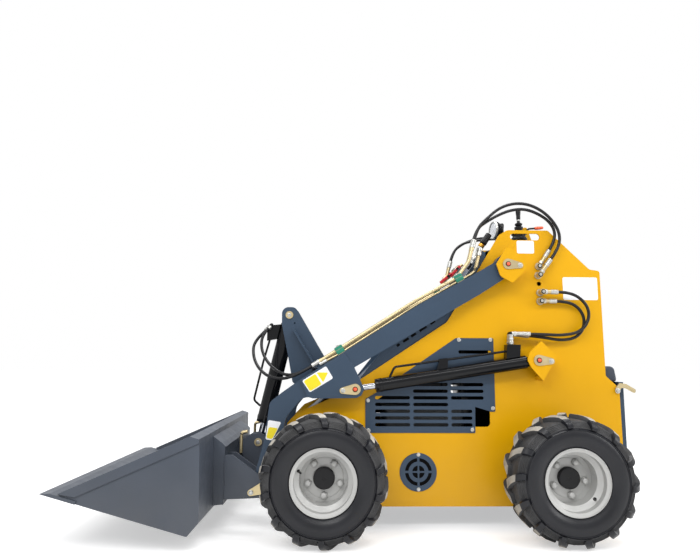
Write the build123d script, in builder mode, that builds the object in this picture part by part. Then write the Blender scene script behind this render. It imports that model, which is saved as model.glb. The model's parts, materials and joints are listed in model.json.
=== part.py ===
"""Compact skid steer loader with a low bucket and a folding stand-on platform.

Millimetres. +Z is up, the bucket points to -X and the left side is -Y.
The origin is on the ground, under the middle of the machine.
"""
import os
from math import atan2, cos, hypot, pi, radians, sin, tan

from build123d import *

os.makedirs("parts", exist_ok=True)

# Wheels
WHEELBASE = 1128
FRONT_AXLE_X = -182
TYRE_D = 584
TYRE_W = 216
TRACK = 978
LUG_DEPTH = 20
LUG_COUNT = 14
RIM_D = 298
RIM_W = 192
HUB_D = 96
BOLT_CIRCLE_D = 156
BOLT_COUNT = 5
BOLT_D = 26
BOLT_H = 18
DISC_Y = -20
DISC_T = 8
CAP_Y = 3
SHAFT_D = 50
WHEELS_TURNED = (36, 44)

# Body between the wheels
BODY_W = 524
PLATE_T = 8
PLATE_TOP_Z = 1518
PLATE_BOTTOM_Z = 108
PLATE_FRONT_X = -385
PLATE_REAR_X = 1328
PLATE_BACK_X = 1258
SHEET_T = 4
GUARD_T = 3

# Pins: x and z of each axis, and the pin's diameter
PIVOT_X = 740
PIVOT_Z = 1317
BASE_X = 880
BASE_Z = 830
ROD_X = -38
ROD_Z = 683
HINGE_X = -477
HINGE_Z = 217
TOWER_X = -397
TOWER_Z = 1073
EAR_X = -554
EAR_Z = 384
PIN_D = 36
PIN_FIT = 0.4
PIN_SEAT = 0.2

# Arms and cylinders
ARM_W = 60
ARM_GAP = 8
CHEEK_T = 10
SIDE_GAP = 6
BRACKET_T = 10
LIFT_BORE_D = 66
LIFT_ROD_D = 30
TILT_BORE_D = 84
TILT_ROD_D = 34
EYE_W = 36
EYE_PIN = 5

# Bucket and attach plate
BUCKET_W = 1210
BUCKET_T = 6
BUCKET_SIDE_T = 8
LIP_X = -1393
LIP_Z = 252
HEEL_X = -761
HEEL_Z = 74
BUCKET_BACK_X = -712
BACK_FOOT_Z = 134
BUCKET_TOP_X = -723
BUCKET_TOP_Z = 480
EDGE_T = 14
EDGE_L = 160
ATTACH_T = 12
ATTACH_X = -665
ATTACH_TOP_Z = 407
ATTACH_BOTTOM_Z = 140

# Values that follow from those above
SIDES = (("left", -1), ("right", 1))
AXLES = (("front", FRONT_AXLE_X), ("rear", FRONT_AXLE_X + WHEELBASE))
AXLE_Z = TYRE_D / 2
BODY_Y = BODY_W / 2
INNER_Y = BODY_Y - PLATE_T
ARM_IN = BODY_Y + ARM_GAP
ARM_OUT = ARM_IN + ARM_W
CHEEK_OUT = ARM_OUT + CHEEK_T
BRACKET_IN = CHEEK_OUT + 2
BRACKET_OUT = BRACKET_IN + BRACKET_T
EAR_IN = ARM_OUT + SIDE_GAP
EAR_OUT = EAR_IN + BRACKET_T


def side_plane(side, y):
    """Plane seen from the left, at y on one side: local x is X and local y is Z."""
    return Plane(origin=(0, side * y, 0), x_dir=(1, 0, 0), z_dir=(0, -1, 0))


def outline(rows, mode=Mode.ADD):
    """Puts a face of straight runs into a sketch: rows are x, z and the corner's radius."""
    with BuildSketch(Plane.XY) as shape:
        with BuildLine():
            FilletPolyline(
                *[(x, z) for x, z, radius in rows],
                radius=[radius for x, z, radius in rows],
                close=True,
            )
        make_face()
    add(shape.sketch, mode=mode)


def outward(side, thickness):
    """Extrusion from a side plane away from the machine's middle."""
    return -side * thickness


def save(builder, name):
    """Labels a finished sub-part and writes its file."""
    builder.part.label = name
    export_step(builder.part, f"parts/{name}.step")


def shifted(rows, dx, dz):
    """The same rows, moved."""
    return [(x + dx, z + dz, radius) for x, z, radius in rows]


def along(x0, z0, x1, z1, run, off):
    """Point at a run along the line from 0 to 1, and off to its left."""
    length = hypot(x1 - x0, z1 - z0)
    ux, uz = (x1 - x0) / length, (z1 - z0) / length
    return x0 + ux * run - uz * off, z0 + uz * run + ux * off


def stub(start, end, diameter):
    """Round bar from one point to another, outside any builder."""
    way = Vector(*end) - Vector(*start)
    with BuildPart() as bar:
        with BuildSketch(Plane(origin=start, z_dir=way.normalized())):
            Circle(diameter / 2)
        extrude(amount=way.length)
    return bar.part


# Side plates: x, z, corner radius, from the top front corner clockwise
PLATE_ROWS = [
    (PIVOT_X + 30, PLATE_TOP_Z, 40),
    (PLATE_BACK_X - 270, PLATE_TOP_Z, 14),
    (PLATE_BACK_X - 56, PIVOT_Z - 8, 20),
    (PLATE_BACK_X - 2, PIVOT_Z - 16, 14),
    (PLATE_BACK_X, 752, 20),
    (PLATE_REAR_X - 3, 690, 12),
    (PLATE_REAR_X, 168, 0),
    (PLATE_REAR_X - 60, PLATE_BOTTOM_Z, 0),
    (PLATE_FRONT_X + 90, PLATE_BOTTOM_Z, 0),
    (PLATE_FRONT_X, 200, 0),
    (PLATE_FRONT_X + 7, 511, 30),
    (PLATE_FRONT_X + 56, 563, 30),
    (PLATE_FRONT_X + 207, 625, 0),
    (PLATE_FRONT_X + 379, 731, 60),
    (PLATE_FRONT_X + 825, 1025, 20),
    (PIVOT_X - 14, 1491, 30),
]
WINDOW_X = 16
WINDOW_Z = 464
WINDOW_ROWS = [
    (WINDOW_X + 30, WINDOW_Z + 30, 10),
    (WINDOW_X + 635, WINDOW_Z + 30, 20),
    (WINDOW_X + 635, WINDOW_Z + 440, 10),
    (WINDOW_X + 480, WINDOW_Z + 440, 10),
    (WINDOW_X + 70, WINDOW_Z + 170, 10),
    (WINDOW_X + 30, WINDOW_Z + 140, 10),
]
GRILLE_ROWS = [
    (WINDOW_X + 24, WINDOW_Z, 0),
    (WINDOW_X + 557, WINDOW_Z, 4),
    (WINDOW_X + 559, WINDOW_Z + 130, 0),
    (WINDOW_X + 638, WINDOW_Z + 106, 6),
    (WINDOW_X + 662, WINDOW_Z + 106, 6),
    (WINDOW_X + 662, WINDOW_Z + 478, 6),
    (WINDOW_X + 467, WINDOW_Z + 478, 20),
    (WINDOW_X + 57, WINDOW_Z + 200, 20),
    (WINDOW_X, WINDOW_Z + 167, 6),
    (WINDOW_X, WINDOW_Z + 24, 0),
]
SLOT_PITCH = 33.5
SLOT_H = 17
VENT_X = 281
VENT_Z = 273
VENT_D = 186
VENT_HOLE_D = 156
HANDLE_X = 864
HANDLE_L = 158
HANDLE_H = 36
HANDLE_DROP = 36
PORT_X = 930
PORT_Z = 1230
PORT_D = 24
MOTOR_D = 110
MOTOR_L = 150
MOTOR_FLANGE = 150
MOTOR_FLANGE_T = 14

# Brackets that straddle the arm's pivot and the cylinder's base, round each pin's axis
PIVOT_ROWS = [
    (-60, 0, 12),
    (-8, 82, 12),
    (14, 88, 8),
    (92, 18, 8),
    (94, -24, 10),
    (22, -98, 14),
    (-40, -62, 20),
]
PIVOT_WEB = [(30, 74), (92, 18), (94, -24), (60, -58), (48, -46), (80, -14), (78, 12), (20, 62)]
BASE_ROWS = [
    (-58, 2, 30),
    (-40, -36, 20),
    (18, -102, 6),
    (92, 20, 6),
    (16, 96, 6),
    (-46, 40, 30),
]
BASE_WEB = [(18, -102), (92, 20), (76, 36), (64, 22), (10, -84)]
# Where each bracket stands: the pin's x and z, its outline and the web to the plate
MOUNT_ROWS = (
    (PIVOT_X, PIVOT_Z, PIVOT_ROWS, PIVOT_WEB),
    (BASE_X, BASE_Z, BASE_ROWS, BASE_WEB),
)

for side_name, side in SIDES:
    with BuildPart() as side_plate:
        with BuildSketch(side_plane(side, INNER_Y)):
            outline(PLATE_ROWS)
            outline(WINDOW_ROWS, mode=Mode.SUBTRACT)
            with Locations((VENT_X, VENT_Z)):
                Circle(VENT_HOLE_D / 2, mode=Mode.SUBTRACT)
            with Locations((HANDLE_X, PLATE_TOP_Z - HANDLE_DROP)):
                SlotOverall(HANDLE_L, HANDLE_H, mode=Mode.SUBTRACT)
            with Locations((PORT_X, PORT_Z)):
                Circle(PORT_D / 2, mode=Mode.SUBTRACT)
            with Locations(*[(x, AXLE_Z) for end, x in AXLES]):
                Circle(MOTOR_D / 2 + 1, mode=Mode.SUBTRACT)
            with Locations((PIVOT_X, PIVOT_Z), (BASE_X, BASE_Z)):
                Circle(PIN_D / 2 + PIN_SEAT, mode=Mode.SUBTRACT)
        extrude(amount=outward(side, PLATE_T))
    save(side_plate, f"side_plate_{side_name}")

    with BuildPart() as brackets:
        for x, z, rows, web in MOUNT_ROWS:
            with BuildSketch(side_plane(side, BRACKET_IN)):
                outline(shifted(rows, x, z))
                with Locations((x, z)):
                    Circle(PIN_D / 2 + PIN_SEAT, mode=Mode.SUBTRACT)
            extrude(amount=outward(side, BRACKET_T))
            with BuildSketch(side_plane(side, BODY_Y)):
                with Locations((x, z)):
                    Polygon(*web, align=None)
            extrude(amount=outward(side, BRACKET_IN - BODY_Y))
    save(brackets, f"arm_brackets_{side_name}")

    with BuildPart() as grille:
        with BuildSketch(side_plane(side, BODY_Y)):
            outline(GRILLE_ROWS)
            for column_x, column_l, first, last in (
                (WINDOW_X + 138, 178, 0, 6),
                (WINDOW_X + 332, 178, 0, 6),
                (WINDOW_X + 490, 108, 0, 2),
                (WINDOW_X + 520, 168, 4, 6),
            ):
                for row in range(first, last + 1):
                    with Locations((column_x, WINDOW_Z + 40 + row * SLOT_PITCH)):
                        if column_x > WINDOW_X + 200 or row < 5:
                            SlotOverall(column_l, SLOT_H, mode=Mode.SUBTRACT)
            with Locations((WINDOW_X + 564, WINDOW_Z + 407)):
                SlotOverall(170, SLOT_H, mode=Mode.SUBTRACT)
        extrude(amount=outward(side, GUARD_T))
        with BuildSketch(side_plane(side, BODY_Y)):
            with Locations((VENT_X, VENT_Z)):
                Circle(VENT_D / 2)
                with PolarLocations(60, 4, start_angle=45):
                    Rectangle(18, 66, mode=Mode.SUBTRACT)
                with PolarLocations(26, 4):
                    Circle(9, mode=Mode.SUBTRACT)
        extrude(amount=outward(side, GUARD_T))
    save(grille, f"grilles_{side_name}")

# Belly pan with its upturned front, and the rear guard
PAN_BACK_X = PLATE_REAR_X - 78
with BuildPart() as belly_pan:
    with BuildSketch(Plane.XZ.offset(INNER_Y)):
        outline(
            [
                (PAN_BACK_X, PLATE_BOTTOM_Z, 0),
                (PLATE_FRONT_X + 94, PLATE_BOTTOM_Z, 0),
                (PLATE_FRONT_X + 4, 202, 0),
                (PLATE_FRONT_X + 11, 500, 0),
                (PLATE_FRONT_X + 19, 500, 0),
                (PLATE_FRONT_X + 12, 206, 0),
                (PLATE_FRONT_X + 98, PLATE_BOTTOM_Z + PLATE_T, 0),
                (PAN_BACK_X, PLATE_BOTTOM_Z + PLATE_T, 0),
            ]
        )
    extrude(amount=-2 * INNER_Y)
save(belly_pan, "belly_pan")

# Drive motors: flange on the plate's inner face, body inwards, nose out round the shaft
HUB_IN = TRACK / 2 + DISC_Y - DISC_T
NOSE_L = 30
with BuildPart() as drive_motors:
    for side_name, side in SIDES:
        for end, x in AXLES:
            with BuildSketch(side_plane(side, INNER_Y - MOTOR_FLANGE_T)):
                with Locations((x, AXLE_Z)):
                    RectangleRounded(MOTOR_FLANGE, MOTOR_FLANGE, 16)
            extrude(amount=outward(side, MOTOR_FLANGE_T))
            with BuildSketch(side_plane(side, INNER_Y - MOTOR_L)):
                with Locations((x, AXLE_Z)):
                    Circle(MOTOR_D / 2)
            extrude(amount=outward(side, MOTOR_L + PLATE_T + NOSE_L))
            with BuildSketch(side_plane(side, BODY_Y)):
                with Locations((x, AXLE_Z)):
                    Circle(SHAFT_D / 2 + PIN_FIT)
            extrude(amount=outward(side, NOSE_L), mode=Mode.SUBTRACT)
save(drive_motors, "drive_motors")

# Engine block on its feet
ENGINE_X = 330
ENGINE_L = 420
ENGINE_W = 330
ENGINE_H = 400
ENGINE_LIFT = 60
PAN_TOP_Z = PLATE_BOTTOM_Z + PLATE_T
with BuildPart() as engine:
    with BuildSketch(Plane.XY.offset(PAN_TOP_Z + ENGINE_LIFT)):
        with Locations((ENGINE_X, 0)):
            RectangleRounded(ENGINE_L, ENGINE_W, 20)
    extrude(amount=ENGINE_H)
    with BuildSketch(Plane.XY.offset(PAN_TOP_Z)):
        with Locations((ENGINE_X, 0)):
            with GridLocations(ENGINE_L - 80, ENGINE_W - 80, 2, 2):
                Circle(24)
    extrude(amount=ENGINE_LIFT)
save(engine, "engine")

# Hood: folded sheet over the engine, standing proud of the side plates, with slots
HOOD_PROUD = 36
CONSOLE_Z = PLATE_TOP_Z - 66
HOOD_ROWS = [
    (PLATE_FRONT_X + 26, 500),
    (PLATE_FRONT_X + 200, 640),
    (PLATE_FRONT_X + 386, 735),
    (PLATE_FRONT_X + 489, 805 + HOOD_PROUD),
    (PLATE_FRONT_X + 828, 1028 + HOOD_PROUD),
    (PIVOT_X - 87, PIVOT_Z + 86),
    (PIVOT_X + 8, CONSOLE_Z - 18),
]
HOOD_SLOT_L = 76
HOOD_SLOT_W = 17
HOOD_SLOT_RUN = 190
LID_SLOPE = atan2(HOOD_ROWS[4][1] - HOOD_ROWS[3][1], HOOD_ROWS[4][0] - HOOD_ROWS[3][0])
LID_MIDDLE = along(*HOOD_ROWS[3], *HOOD_ROWS[4], HOOD_SLOT_RUN, SHEET_T)
with BuildPart() as hood:
    with BuildSketch(Plane.XZ.offset(INNER_Y)):
        with BuildLine():
            ridge = Polyline(*HOOD_ROWS)
            offset(ridge, amount=SHEET_T, side=Side.RIGHT)
        make_face()
    extrude(amount=-2 * INNER_Y)
    lid = Plane(
        origin=(LID_MIDDLE[0], 0, LID_MIDDLE[1]),
        x_dir=(cos(LID_SLOPE), 0, sin(LID_SLOPE)),
        z_dir=(-sin(LID_SLOPE), 0, cos(LID_SLOPE)),
    )
    with BuildSketch(lid):
        with GridLocations(HOOD_SLOT_L + 32, 80, 3, 4):
            SlotOverall(HOOD_SLOT_L, HOOD_SLOT_W)
    extrude(amount=-4 * SHEET_T, mode=Mode.SUBTRACT)
save(hood, "hood")

# Rear cover and console between the plates, with the ears of the platform's hinge
PLATFORM_X = PLATE_REAR_X + 22
PLATFORM_Z = 190
PLATFORM_W = 470
PLATFORM_L = 530
PLATFORM_T = 26
EAR_DROP = 20
COVER_ROWS = [
    (PIVOT_X + 20, CONSOLE_Z - 36),
    (PIVOT_X + 20, CONSOLE_Z),
    (PLATE_BACK_X - 275, CONSOLE_Z),
    (PLATE_BACK_X - 62, PIVOT_Z - 30),
    (PLATE_BACK_X - 16, PIVOT_Z - 40),
    (PLATE_BACK_X - 14, 740),
    (PLATE_REAR_X - 20, 676),
    (PLATE_REAR_X - 16, 168),
    (PAN_BACK_X + 5, PLATE_BOTTOM_Z),
]
with BuildPart() as rear_cover:
    with BuildSketch(Plane.XZ.offset(INNER_Y)):
        with BuildLine():
            spine = Polyline(*COVER_ROWS)
            offset(spine, amount=SHEET_T, side=Side.RIGHT)
        make_face()
    extrude(amount=-2 * INNER_Y)
    for side_name, side in SIDES:
        with BuildSketch(side_plane(side, PLATFORM_W / 2 + 5)):
            with Locations((PLATFORM_X - 13, PLATFORM_Z)):
                Rectangle(62, 2 * EAR_DROP)
        extrude(amount=outward(side, INNER_Y - PLATFORM_W / 2 - 5))
        with BuildSketch(side_plane(side, PLATFORM_W / 2 - 12)):
            with Locations((PLATFORM_X, PLATFORM_Z)):
                Circle(8)
        extrude(amount=outward(side, 20))
save(rear_cover, "rear_cover")

# Lift arms: box section from the pivot to the knee, then the drop leg to the hinge
KNEE_ROWS = [
    (-270, 43, 0),
    (-55, 175, 0),
    (-4, 107, 0),
    (30, 35, 0),
    (45, -1, 0),
    (30, -30, 0),
    (6, -42, 0),
    (-209, -45, 0),
    (-236, -37, 0),
]
ARM_ROWS = [
    (PIVOT_X - 50, PIVOT_Z + 20, 0),
    (PIVOT_X - 139, PIVOT_Z - 33, 60),
    (ROD_X + 331, ROD_Z + 430, 0),
    (ROD_X - 270, ROD_Z + 48, 0),
    (ROD_X - 359, ROD_Z - 15, 60),
    (ROD_X - 420, ROD_Z - 64, 40),
    (HINGE_X - 3, HINGE_Z + 220, 200),
    (HINGE_X - 44, HINGE_Z + 60, 30),
    (HINGE_X - 42, HINGE_Z - 38, 40),
    (HINGE_X + 36, HINGE_Z - 42, 40),
    (HINGE_X + 50, HINGE_Z + 70, 100),
    (HINGE_X + 100, HINGE_Z + 330, 80),
    (ROD_X - 260, ROD_Z - 40, 60),
    (ROD_X - 20, ROD_Z - 42, 30),
    (ROD_X + 44, ROD_Z - 20, 20),
    (ROD_X - 4, ROD_Z + 107, 0),
    (PIVOT_X - 142, PIVOT_Z - 154, 40),
    (PIVOT_X + 20, PIVOT_Z - 50, 30),
]
FORK_ROWS = [
    (-56, -90),
    (-56, 34),
    (-6, 86),
    (90, 86),
    (90, -90),
]
BOSS_D = 112
FORK_WALL = 8
EYE_MID = (ARM_IN + FORK_WALL + ARM_OUT) / 2
EYE_D = 60
PIPE_D = 18
for side_name, side in SIDES:
    with BuildPart() as lift_arm:
        with BuildSketch(side_plane(side, ARM_IN)):
            outline(ARM_ROWS)
            with Locations((PIVOT_X, PIVOT_Z)):
                Circle(BOSS_D / 2)
        extrude(amount=outward(side, ARM_W))
        with BuildSketch(side_plane(side, ARM_IN + FORK_WALL)):
            with Locations((ROD_X, ROD_Z)):
                Polygon(*FORK_ROWS, align=None)
        extrude(amount=outward(side, ARM_W - FORK_WALL), mode=Mode.SUBTRACT)
        with BuildSketch(side_plane(side, ARM_OUT)):
            outline(shifted(KNEE_ROWS, ROD_X, ROD_Z))
            with Locations((ROD_X, ROD_Z)):
                Circle(PIN_D / 2 + PIN_SEAT, mode=Mode.SUBTRACT)
        extrude(amount=outward(side, CHEEK_T))
        with BuildSketch(side_plane(side, ARM_IN)):
            with Locations((PIVOT_X, PIVOT_Z), (HINGE_X, HINGE_Z)):
                Circle(PIN_D / 2 + PIN_FIT)
        extrude(amount=outward(side, ARM_W), mode=Mode.SUBTRACT)
    save(lift_arm, f"lift_arm_{side_name}")

# Cross tube between the arms, with the tower that carries the tilt cylinder
CROSS_X = -200
CROSS_Z = 730
CROSS_A = 110
CROSS_T = 6
TOWER_T = 12
TOWER_GAP = TILT_BORE_D / 2 + 8
TOWER_ROWS = [
    (TOWER_X - 42, TOWER_Z + 44, 36),
    (TOWER_X + 32, TOWER_Z + 44, 34),
    (CROSS_X - 10, CROSS_Z + 125, 60),
    (CROSS_X + CROSS_A / 2, CROSS_Z + CROSS_A / 2, 0),
    (CROSS_X - CROSS_A / 2, CROSS_Z + CROSS_A / 2, 0),
    (CROSS_X - CROSS_A / 2, CROSS_Z - 40, 0),
    (TOWER_X + 25, CROSS_Z - 32, 20),
    (TOWER_X + 2, TOWER_Z - 251, 60),
    (TOWER_X - 41, TOWER_Z - 51, 60),
]
# Rib on each of the tower's plates, from the cross tube's top
RIB_H = 46
RIB_ROWS = [(-38, 0), (-50, 0), (-174, 204), (-165, 206)]
with BuildPart() as cross_tube:
    with BuildSketch(Plane.XZ.offset(ARM_IN)):
        with Locations((CROSS_X, CROSS_Z)):
            RectangleRounded(CROSS_A, CROSS_A, 10)
            Rectangle(CROSS_A - 2 * CROSS_T, CROSS_A - 2 * CROSS_T, mode=Mode.SUBTRACT)
    extrude(amount=-2 * ARM_IN)
    for side_name, side in SIDES:
        with BuildSketch(side_plane(side, TOWER_GAP)):
            outline(TOWER_ROWS)
            with Locations((TOWER_X, TOWER_Z)):
                Circle(PIN_D / 2 + PIN_SEAT, mode=Mode.SUBTRACT)
            with Locations((TOWER_X + 29, TOWER_Z - 45)):
                Circle(5, mode=Mode.SUBTRACT)
        extrude(amount=outward(side, TOWER_T))
        with BuildSketch(side_plane(side, TOWER_GAP + TOWER_T)):
            with Locations((CROSS_X, CROSS_Z + CROSS_A / 2)):
                Polygon(*RIB_ROWS, align=None)
        extrude(amount=outward(side, RIB_H))
save(cross_tube, "cross_tube")

# Pins: a shaft with a pear-shaped keeper on its outer end
PIN_HEAD_D = PIN_D + 18
KEEPER_T = 5
KEEPER_L = 62
KEEPER_TAIL_D = 30
TOWER_OUT = TOWER_GAP + TOWER_T


def pin_solids(x, z, side, start, stop, angle=None):
    """Shaft and keeper plate, or else a round head, of one pin, outside any builder."""
    with BuildPart() as made:
        with BuildSketch(side_plane(side, start)):
            with Locations((x, z)):
                Circle(PIN_D / 2)
        extrude(amount=outward(side, stop - start))
        with BuildSketch(side_plane(side, stop)):
            with Locations((x, z)):
                Circle((PIN_HEAD_D if angle else PIN_D + 6) / 2)
            if angle:
                tail_x = x + KEEPER_L * cos(radians(angle))
                tail_z = z + KEEPER_L * sin(radians(angle))
                with Locations((tail_x, tail_z)):
                    Circle(KEEPER_TAIL_D / 2)
                make_hull()
        extrude(amount=outward(side, KEEPER_T))
    return made.part


BODY_PINS = [
    pin_solids(PIVOT_X, PIVOT_Z, side, INNER_Y - 4, BRACKET_OUT, -6) for name, side in SIDES
] + [pin_solids(BASE_X, BASE_Z, side, INNER_Y - 4, BRACKET_OUT, -4) for name, side in SIDES]
ARM_PINS = [
    pin_solids(ROD_X, ROD_Z, side, ARM_OUT, CHEEK_OUT, 186)
    for name, side in SIDES
] + [pin_solids(TOWER_X, TOWER_Z, side, 0, TOWER_OUT) for name, side in SIDES]
EAR_GAP = EYE_W / 2 + 8
EAR_T = 12
ATTACH_PINS = [
    pin_solids(HINGE_X, HINGE_Z, side, ARM_IN - SIDE_GAP - BRACKET_T - 6, EAR_OUT, 200)
    for name, side in SIDES
] + [pin_solids(EAR_X, EAR_Z, side, EAR_GAP, EAR_GAP + EAR_T) for name, side in SIDES]
for group_name, solids in (
    ("body_pins", BODY_PINS),
    ("arm_pins", ARM_PINS),
    ("attach_pins", ATTACH_PINS),
):
    with BuildPart() as pins:
        add(solids)
    save(pins, group_name)


def ram(x0, z0, x1, z1, side, mid, bore, rod, start, stop):
    """Barrel and rod of a cylinder from its base pin 0 to its rod pin 1.

    The rod's pin is part of the rod: the linkage is opened there.
    """
    length = hypot(x1 - x0, z1 - z0)
    tilt = Plane(
        origin=(x0, side * mid, z0),
        x_dir=(0, 1, 0),
        z_dir=((x1 - x0) / length, 0, (z1 - z0) / length),
    )
    wall = bore * 0.07
    with BuildPart() as barrel:
        with BuildSketch(tilt.offset(start)):
            Circle(bore / 2)
        extrude(amount=stop - start)
        with BuildSketch(tilt.offset(start + 20)):
            Circle(bore / 2 - wall)
        extrude(amount=stop - start - 50, mode=Mode.SUBTRACT)
        with BuildSketch(tilt.offset(stop - 40)):
            Circle(rod / 2 + PIN_FIT)
        extrude(amount=60, mode=Mode.SUBTRACT)
        with BuildSketch(side_plane(1, side * mid - EYE_W / 2)):
            with Locations((x0, z0)):
                Circle(EYE_D / 2)
        extrude(amount=-EYE_W)
        with BuildSketch(tilt):
            Rectangle(EYE_W, EYE_D * 0.8)
        extrude(amount=start + 2)
        with BuildSketch(side_plane(1, side * mid - EYE_W / 2)):
            with Locations((x0, z0)):
                Circle(PIN_D / 2 + PIN_FIT)
        extrude(amount=-EYE_W, mode=Mode.SUBTRACT)
    with BuildPart() as shaft:
        with BuildSketch(tilt.offset(start + 26)):
            Circle(bore / 2 - wall - PIN_FIT)
        extrude(amount=30)
        with BuildSketch(tilt.offset(start + 50)):
            Circle(rod / 2)
        extrude(amount=length - start - 50 - EYE_D / 2 + 4)
        with BuildSketch(side_plane(1, side * mid - EYE_W / 2)):
            with Locations((x1, z1)):
                Circle(EYE_D / 2)
        extrude(amount=-EYE_W)
        with BuildSketch(side_plane(1, side * mid - EYE_W / 2 - EYE_PIN)):
            with Locations((x1, z1)):
                Circle(PIN_D / 2)
        extrude(amount=-EYE_W - 2 * EYE_PIN)
    return barrel, shaft


LIFT_LENGTH = hypot(ROD_X - BASE_X, ROD_Z - BASE_Z)
TILT_LENGTH = hypot(EAR_X - TOWER_X, EAR_Z - TOWER_Z)

# Bucket: floor and back sheet, side plates with their top bars, and the cutting edge
SHELL_Y = BUCKET_W / 2 - 7
BAR_T = 7


def floor_at(run, off):
    """Point on the bucket's floor: run from the lip, off above the underside."""
    return along(LIP_X, LIP_Z, HEEL_X, HEEL_Z, run, off)


FLOOR_ROWS = [
    (*floor_at(EDGE_L, 0), 0),
    (HEEL_X, HEEL_Z, 10),
    (BUCKET_BACK_X, BACK_FOOT_Z, 10),
    (BUCKET_TOP_X, BUCKET_TOP_Z, 0),
    (BUCKET_TOP_X - 40, BUCKET_TOP_Z + 12, 0),
    (BUCKET_TOP_X - 40, BUCKET_TOP_Z + 5, 0),
    (BUCKET_TOP_X - BUCKET_T, BUCKET_TOP_Z - BUCKET_T, 0),
    (BUCKET_BACK_X - BUCKET_T, BACK_FOOT_Z + 2, 8),
    (HEEL_X - 2, HEEL_Z + BUCKET_T, 8),
    (*floor_at(EDGE_L, BUCKET_T), 0),
]
SIDE_ROWS = [
    (*floor_at(EDGE_L, 0), 0),
    (HEEL_X, HEEL_Z, 8),
    (BUCKET_BACK_X, BACK_FOOT_Z, 8),
    (BUCKET_TOP_X, BUCKET_TOP_Z, 6),
    (BUCKET_TOP_X - 40, BUCKET_TOP_Z + 12, 6),
    (LIP_X + 77, LIP_Z, 0),
    (*floor_at(84, EDGE_T), 0),
    (*floor_at(EDGE_L, EDGE_T), 0),
]
BAR_ROWS = [
    (BUCKET_TOP_X, BUCKET_TOP_Z - 16, 0),
    (BUCKET_TOP_X, BUCKET_TOP_Z, 6),
    (BUCKET_TOP_X - 40, BUCKET_TOP_Z + 12, 6),
    (LIP_X + 77, LIP_Z, 0),
    (LIP_X + 151, LIP_Z - 13, 0),
]
with BuildPart() as bucket:
    with BuildSketch(Plane.XZ.offset(SHELL_Y - BUCKET_SIDE_T)):
        outline(FLOOR_ROWS)
    extrude(amount=-2 * (SHELL_Y - BUCKET_SIDE_T))
    for side_name, side in SIDES:
        with BuildSketch(side_plane(side, SHELL_Y - BUCKET_SIDE_T)):
            outline(SIDE_ROWS)
        extrude(amount=outward(side, BUCKET_SIDE_T))
        with BuildSketch(side_plane(side, SHELL_Y)):
            outline(BAR_ROWS)
        extrude(amount=outward(side, BAR_T))
save(bucket, "bucket")

with BuildPart() as cutting_edge:
    with BuildSketch(Plane.XZ.offset(BUCKET_W / 2)):
        with BuildLine():
            Polyline(
                (LIP_X, LIP_Z),
                floor_at(EDGE_L, 0),
                floor_at(EDGE_L, EDGE_T),
                floor_at(EDGE_T * 3, EDGE_T),
                close=True,
            )
        make_face()
    extrude(amount=-BUCKET_W)
save(cutting_edge, "cutting_edge")

# Bucket's mount: hooked frame that the attach plate slides up into
MOUNT_FRONT_X = ATTACH_X - ATTACH_T
MOUNT_T = 8
MOUNT_SEAT_Z = ATTACH_TOP_Z + 1


def back_x(z):
    """X of the outside of the bucket's back sheet at a height, with a seat's clearance."""
    share = (z - BACK_FOOT_Z) / (BUCKET_TOP_Z - BACK_FOOT_Z)
    return BUCKET_BACK_X + (BUCKET_TOP_X - BUCKET_BACK_X) * share + PIN_SEAT


with BuildPart() as bucket_mount:
    with BuildSketch(Plane.XZ.offset(EAR_OUT)):
        with BuildLine():
            Polyline(
                (back_x(ATTACH_TOP_Z + 50), ATTACH_TOP_Z + 50),
                (MOUNT_FRONT_X - 2, MOUNT_SEAT_Z + 18),
                (ATTACH_X + 4, MOUNT_SEAT_Z),
                (MOUNT_FRONT_X, MOUNT_SEAT_Z),
                (back_x(ATTACH_TOP_Z + 36), ATTACH_TOP_Z + 36),
                close=True,
            )
        make_face()
    extrude(amount=-2 * EAR_OUT)
    for side_name, side in SIDES:
        with BuildSketch(side_plane(side, EAR_OUT - MOUNT_T)):
            with BuildLine():
                Polyline(
                    (back_x(ATTACH_TOP_Z + 40), ATTACH_TOP_Z + 40),
                    (MOUNT_FRONT_X, MOUNT_SEAT_Z + 6),
                    (MOUNT_FRONT_X, ATTACH_BOTTOM_Z),
                    (back_x(ATTACH_BOTTOM_Z - 4), ATTACH_BOTTOM_Z - 4),
                    close=True,
                )
            make_face()
        extrude(amount=outward(side, MOUNT_T))
save(bucket_mount, "bucket_mount")

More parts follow.
